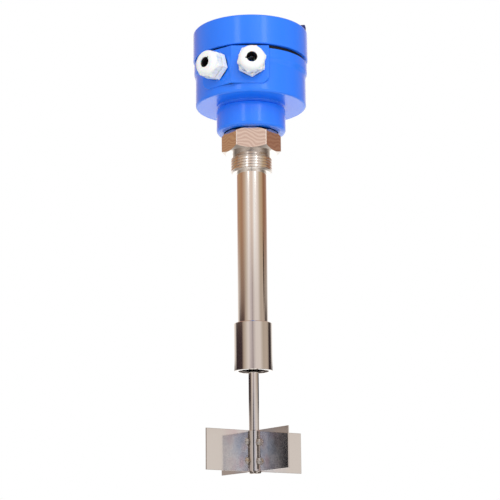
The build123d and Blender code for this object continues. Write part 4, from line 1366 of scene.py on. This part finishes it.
# The openings: where each begins and ends to the left, to the right, below and above, in
# degrees round and up, and its colour. They are the doorway behind the camera with a lit window
# beside it, a cupboard at the left, a post and a cupboard at the right, and one at each side behind.
openings = (
    ((-24.0, -16.0), (-0.1, -0.7), (0.0, 1.0), (7.8, 6.6), "#02050F"),
    ((0.0, 0.2), (1.3, 0.9), (0.0, 1.0), (6.2, 5.6), "#FFFFFF"),
    ((-128.0, -122.0), (-62.0, -72.0), (6.2, 6.8), (10.8, 10.0), "#33262A"),
    ((86.0, 90.0), (102.0, 98.0), (10.4, 10.8), (13.4, 13.0), "#2C2018"),
    ((100.0, 106.0), (134.0, 128.0), (6.2, 6.8), (10.8, 10.2), "#33292A"),
    ((-182.0, -181.0), (-112.0, -120.0), (6.4, 7.0), (8.5, 8.1), "#2E2526"),
    ((120.0, 126.0), (182.0, 181.0), (6.4, 7.0), (8.5, 8.1), "#2E2526"),
)
room_strength = 1.15
plain_strength = 0.76
world = bpy.data.worlds.new("studio")
bpy.context.scene.world = world
world.use_nodes = True
tree = world.node_tree
tree.nodes.clear()
heading = add_node(tree, "ShaderNodeTexCoord").outputs["Generated"]
parts = add_node(tree, "ShaderNodeSeparateXYZ", {"Vector": heading})
angle = angle_round(tree, heading)
height_angle = add_node(tree, "ShaderNodeMath", {0: parts.outputs["Z"]}, operation="ARCSINE")
rows = [stops_round(tree, angle, stops) for stops in (upper_walls, middle_walls, lower_walls)]
above_middle = add_node(
    tree,
    "ShaderNodeMapRange",
    {"Value": parts.outputs["Z"], "From Min": middle_top[0], "From Max": middle_top[1]},
)
above_lower = add_node(
    tree,
    "ShaderNodeMapRange",
    {"Value": parts.outputs["Z"], "From Min": lower_top[0], "From Max": lower_top[1]},
)
middle_room = add_node(
    tree,
    "ShaderNodeMix",
    {0: above_middle.outputs[0], 6: rows[1], 7: rows[0]},
    data_type="RGBA",
)
room = add_node(
    tree,
    "ShaderNodeMix",
    {0: above_lower.outputs[0], 6: rows[2], 7: middle_room.outputs[2]},
    data_type="RGBA",
)
room_colour = room.outputs[2]
for left_edge, right_edge, foot, head, colour in openings:
    cover = None
    for source, edge in (
        (angle.outputs[0], left_edge),
        (angle.outputs[0], right_edge),
        (height_angle.outputs[0], foot),
        (height_angle.outputs[0], head),
    ):
        fade = add_node(
            tree,
            "ShaderNodeMapRange",
            {"Value": source, "From Min": radians(edge[0]), "From Max": radians(edge[1])},
        )
        if cover is None:
            cover = fade
        else:
            cover = add_node(
                tree,
                "ShaderNodeMath",
                {0: cover.outputs[0], 1: fade.outputs[0]},
                operation="MULTIPLY",
            )
    opening = add_node(
        tree,
        "ShaderNodeMix",
        {0: cover.outputs[0], 6: room_colour, 7: linear(colour)},
        data_type="RGBA",
    )
    room_colour = opening.outputs[2]
room_light = add_node(tree, "ShaderNodeBackground", {"Color": room_colour, "Strength": room_strength})
plain_light = add_node(tree, "ShaderNodeBackground", {"Color": linear("#FFFFFF"), "Strength": plain_strength})
backdrop = add_node(tree, "ShaderNodeBackground", {"Color": linear("#FFFFFF"), "Strength": 1.0})
sight = add_node(tree, "ShaderNodeLightPath")
straight = add_node(
    tree,
    "ShaderNodeMath",
    {0: sight.outputs["Is Camera Ray"], 1: sight.outputs["Is Transmission Ray"]},
    operation="MAXIMUM",
)
mirrored = add_node(
    tree,
    "ShaderNodeMixShader",
    {0: sight.outputs["Is Glossy Ray"], 1: plain_light.outputs[0], 2: room_light.outputs[0]},
)
around = add_node(
    tree,
    "ShaderNodeMixShader",
    {0: straight.outputs[0], 1: mirrored.outputs[0], 2: backdrop.outputs[0]},
)
add_node(tree, "ShaderNodeOutputWorld", {"Surface": around.outputs[0]})

lamp_distance = 1.7
lamp_size = (0.3, 0.9)
lamp_bottom = 0.45
lamp_powers = {-25.0: 1.1, 28.0: 1.3}
for lamp_angle, power in lamp_powers.items():
    lamp_place = Vector((sin(radians(lamp_angle)), -cos(radians(lamp_angle)), 0)) * lamp_distance
    lamp_place.z = lamp_bottom + lamp_size[1] / 2
    bpy.ops.object.light_add(type="AREA", location=lamp_place)
    lamp = bpy.context.object
    lamp.name = "soft_box"
    lamp.data.shape = "RECTANGLE"
    lamp.data.size, lamp.data.size_y = lamp_size
    lamp.data.energy = power
    lamp.rotation_euler = (radians(90), 0, radians(lamp_angle))

# A broad diffuser hangs in front, a little to the right, and is too soft to show as a highlight.
diffuser_round = 20.0
diffuser_height = 22.0
bpy.ops.object.light_add(type="SUN", rotation=(radians(90 - diffuser_height), 0, radians(diffuser_round)))
diffuser = bpy.context.object
diffuser.name = "diffuser"
diffuser.data.angle = radians(40)
diffuser.data.energy = 1.1
diffuser.visible_glossy = False

# Camera
# A long lens from below the paddle's level, looking up at the switch from its gland side.
camera_place = Vector((-1.88, -1190.2, -343.9)) * MM
camera_pitch = radians(12.7)
camera_roll = radians(0.556)
camera_lens = 109.8
camera_data = bpy.data.cameras.new("camera")
camera_data.lens = camera_lens
camera_data.sensor_width = 36.0
camera_data.clip_start = 0.05
camera = bpy.data.objects.new("camera", camera_data)
bpy.context.scene.collection.objects.link(camera)
level_right = Vector((1, 0, 0))
level_up = Vector((0, -sin(camera_pitch), cos(camera_pitch)))
camera_right = level_right * cos(camera_roll) - level_up * sin(camera_roll)
camera_up = level_right * sin(camera_roll) + level_up * cos(camera_roll)
camera_back = camera_right.cross(camera_up)
camera_turn = Matrix((camera_right, camera_up, camera_back)).transposed().to_4x4()
camera.matrix_world = Matrix.Translation(camera_place) @ camera_turn
bpy.context.scene.camera = camera
bpy.context.scene.view_settings.view_transform = "Standard"
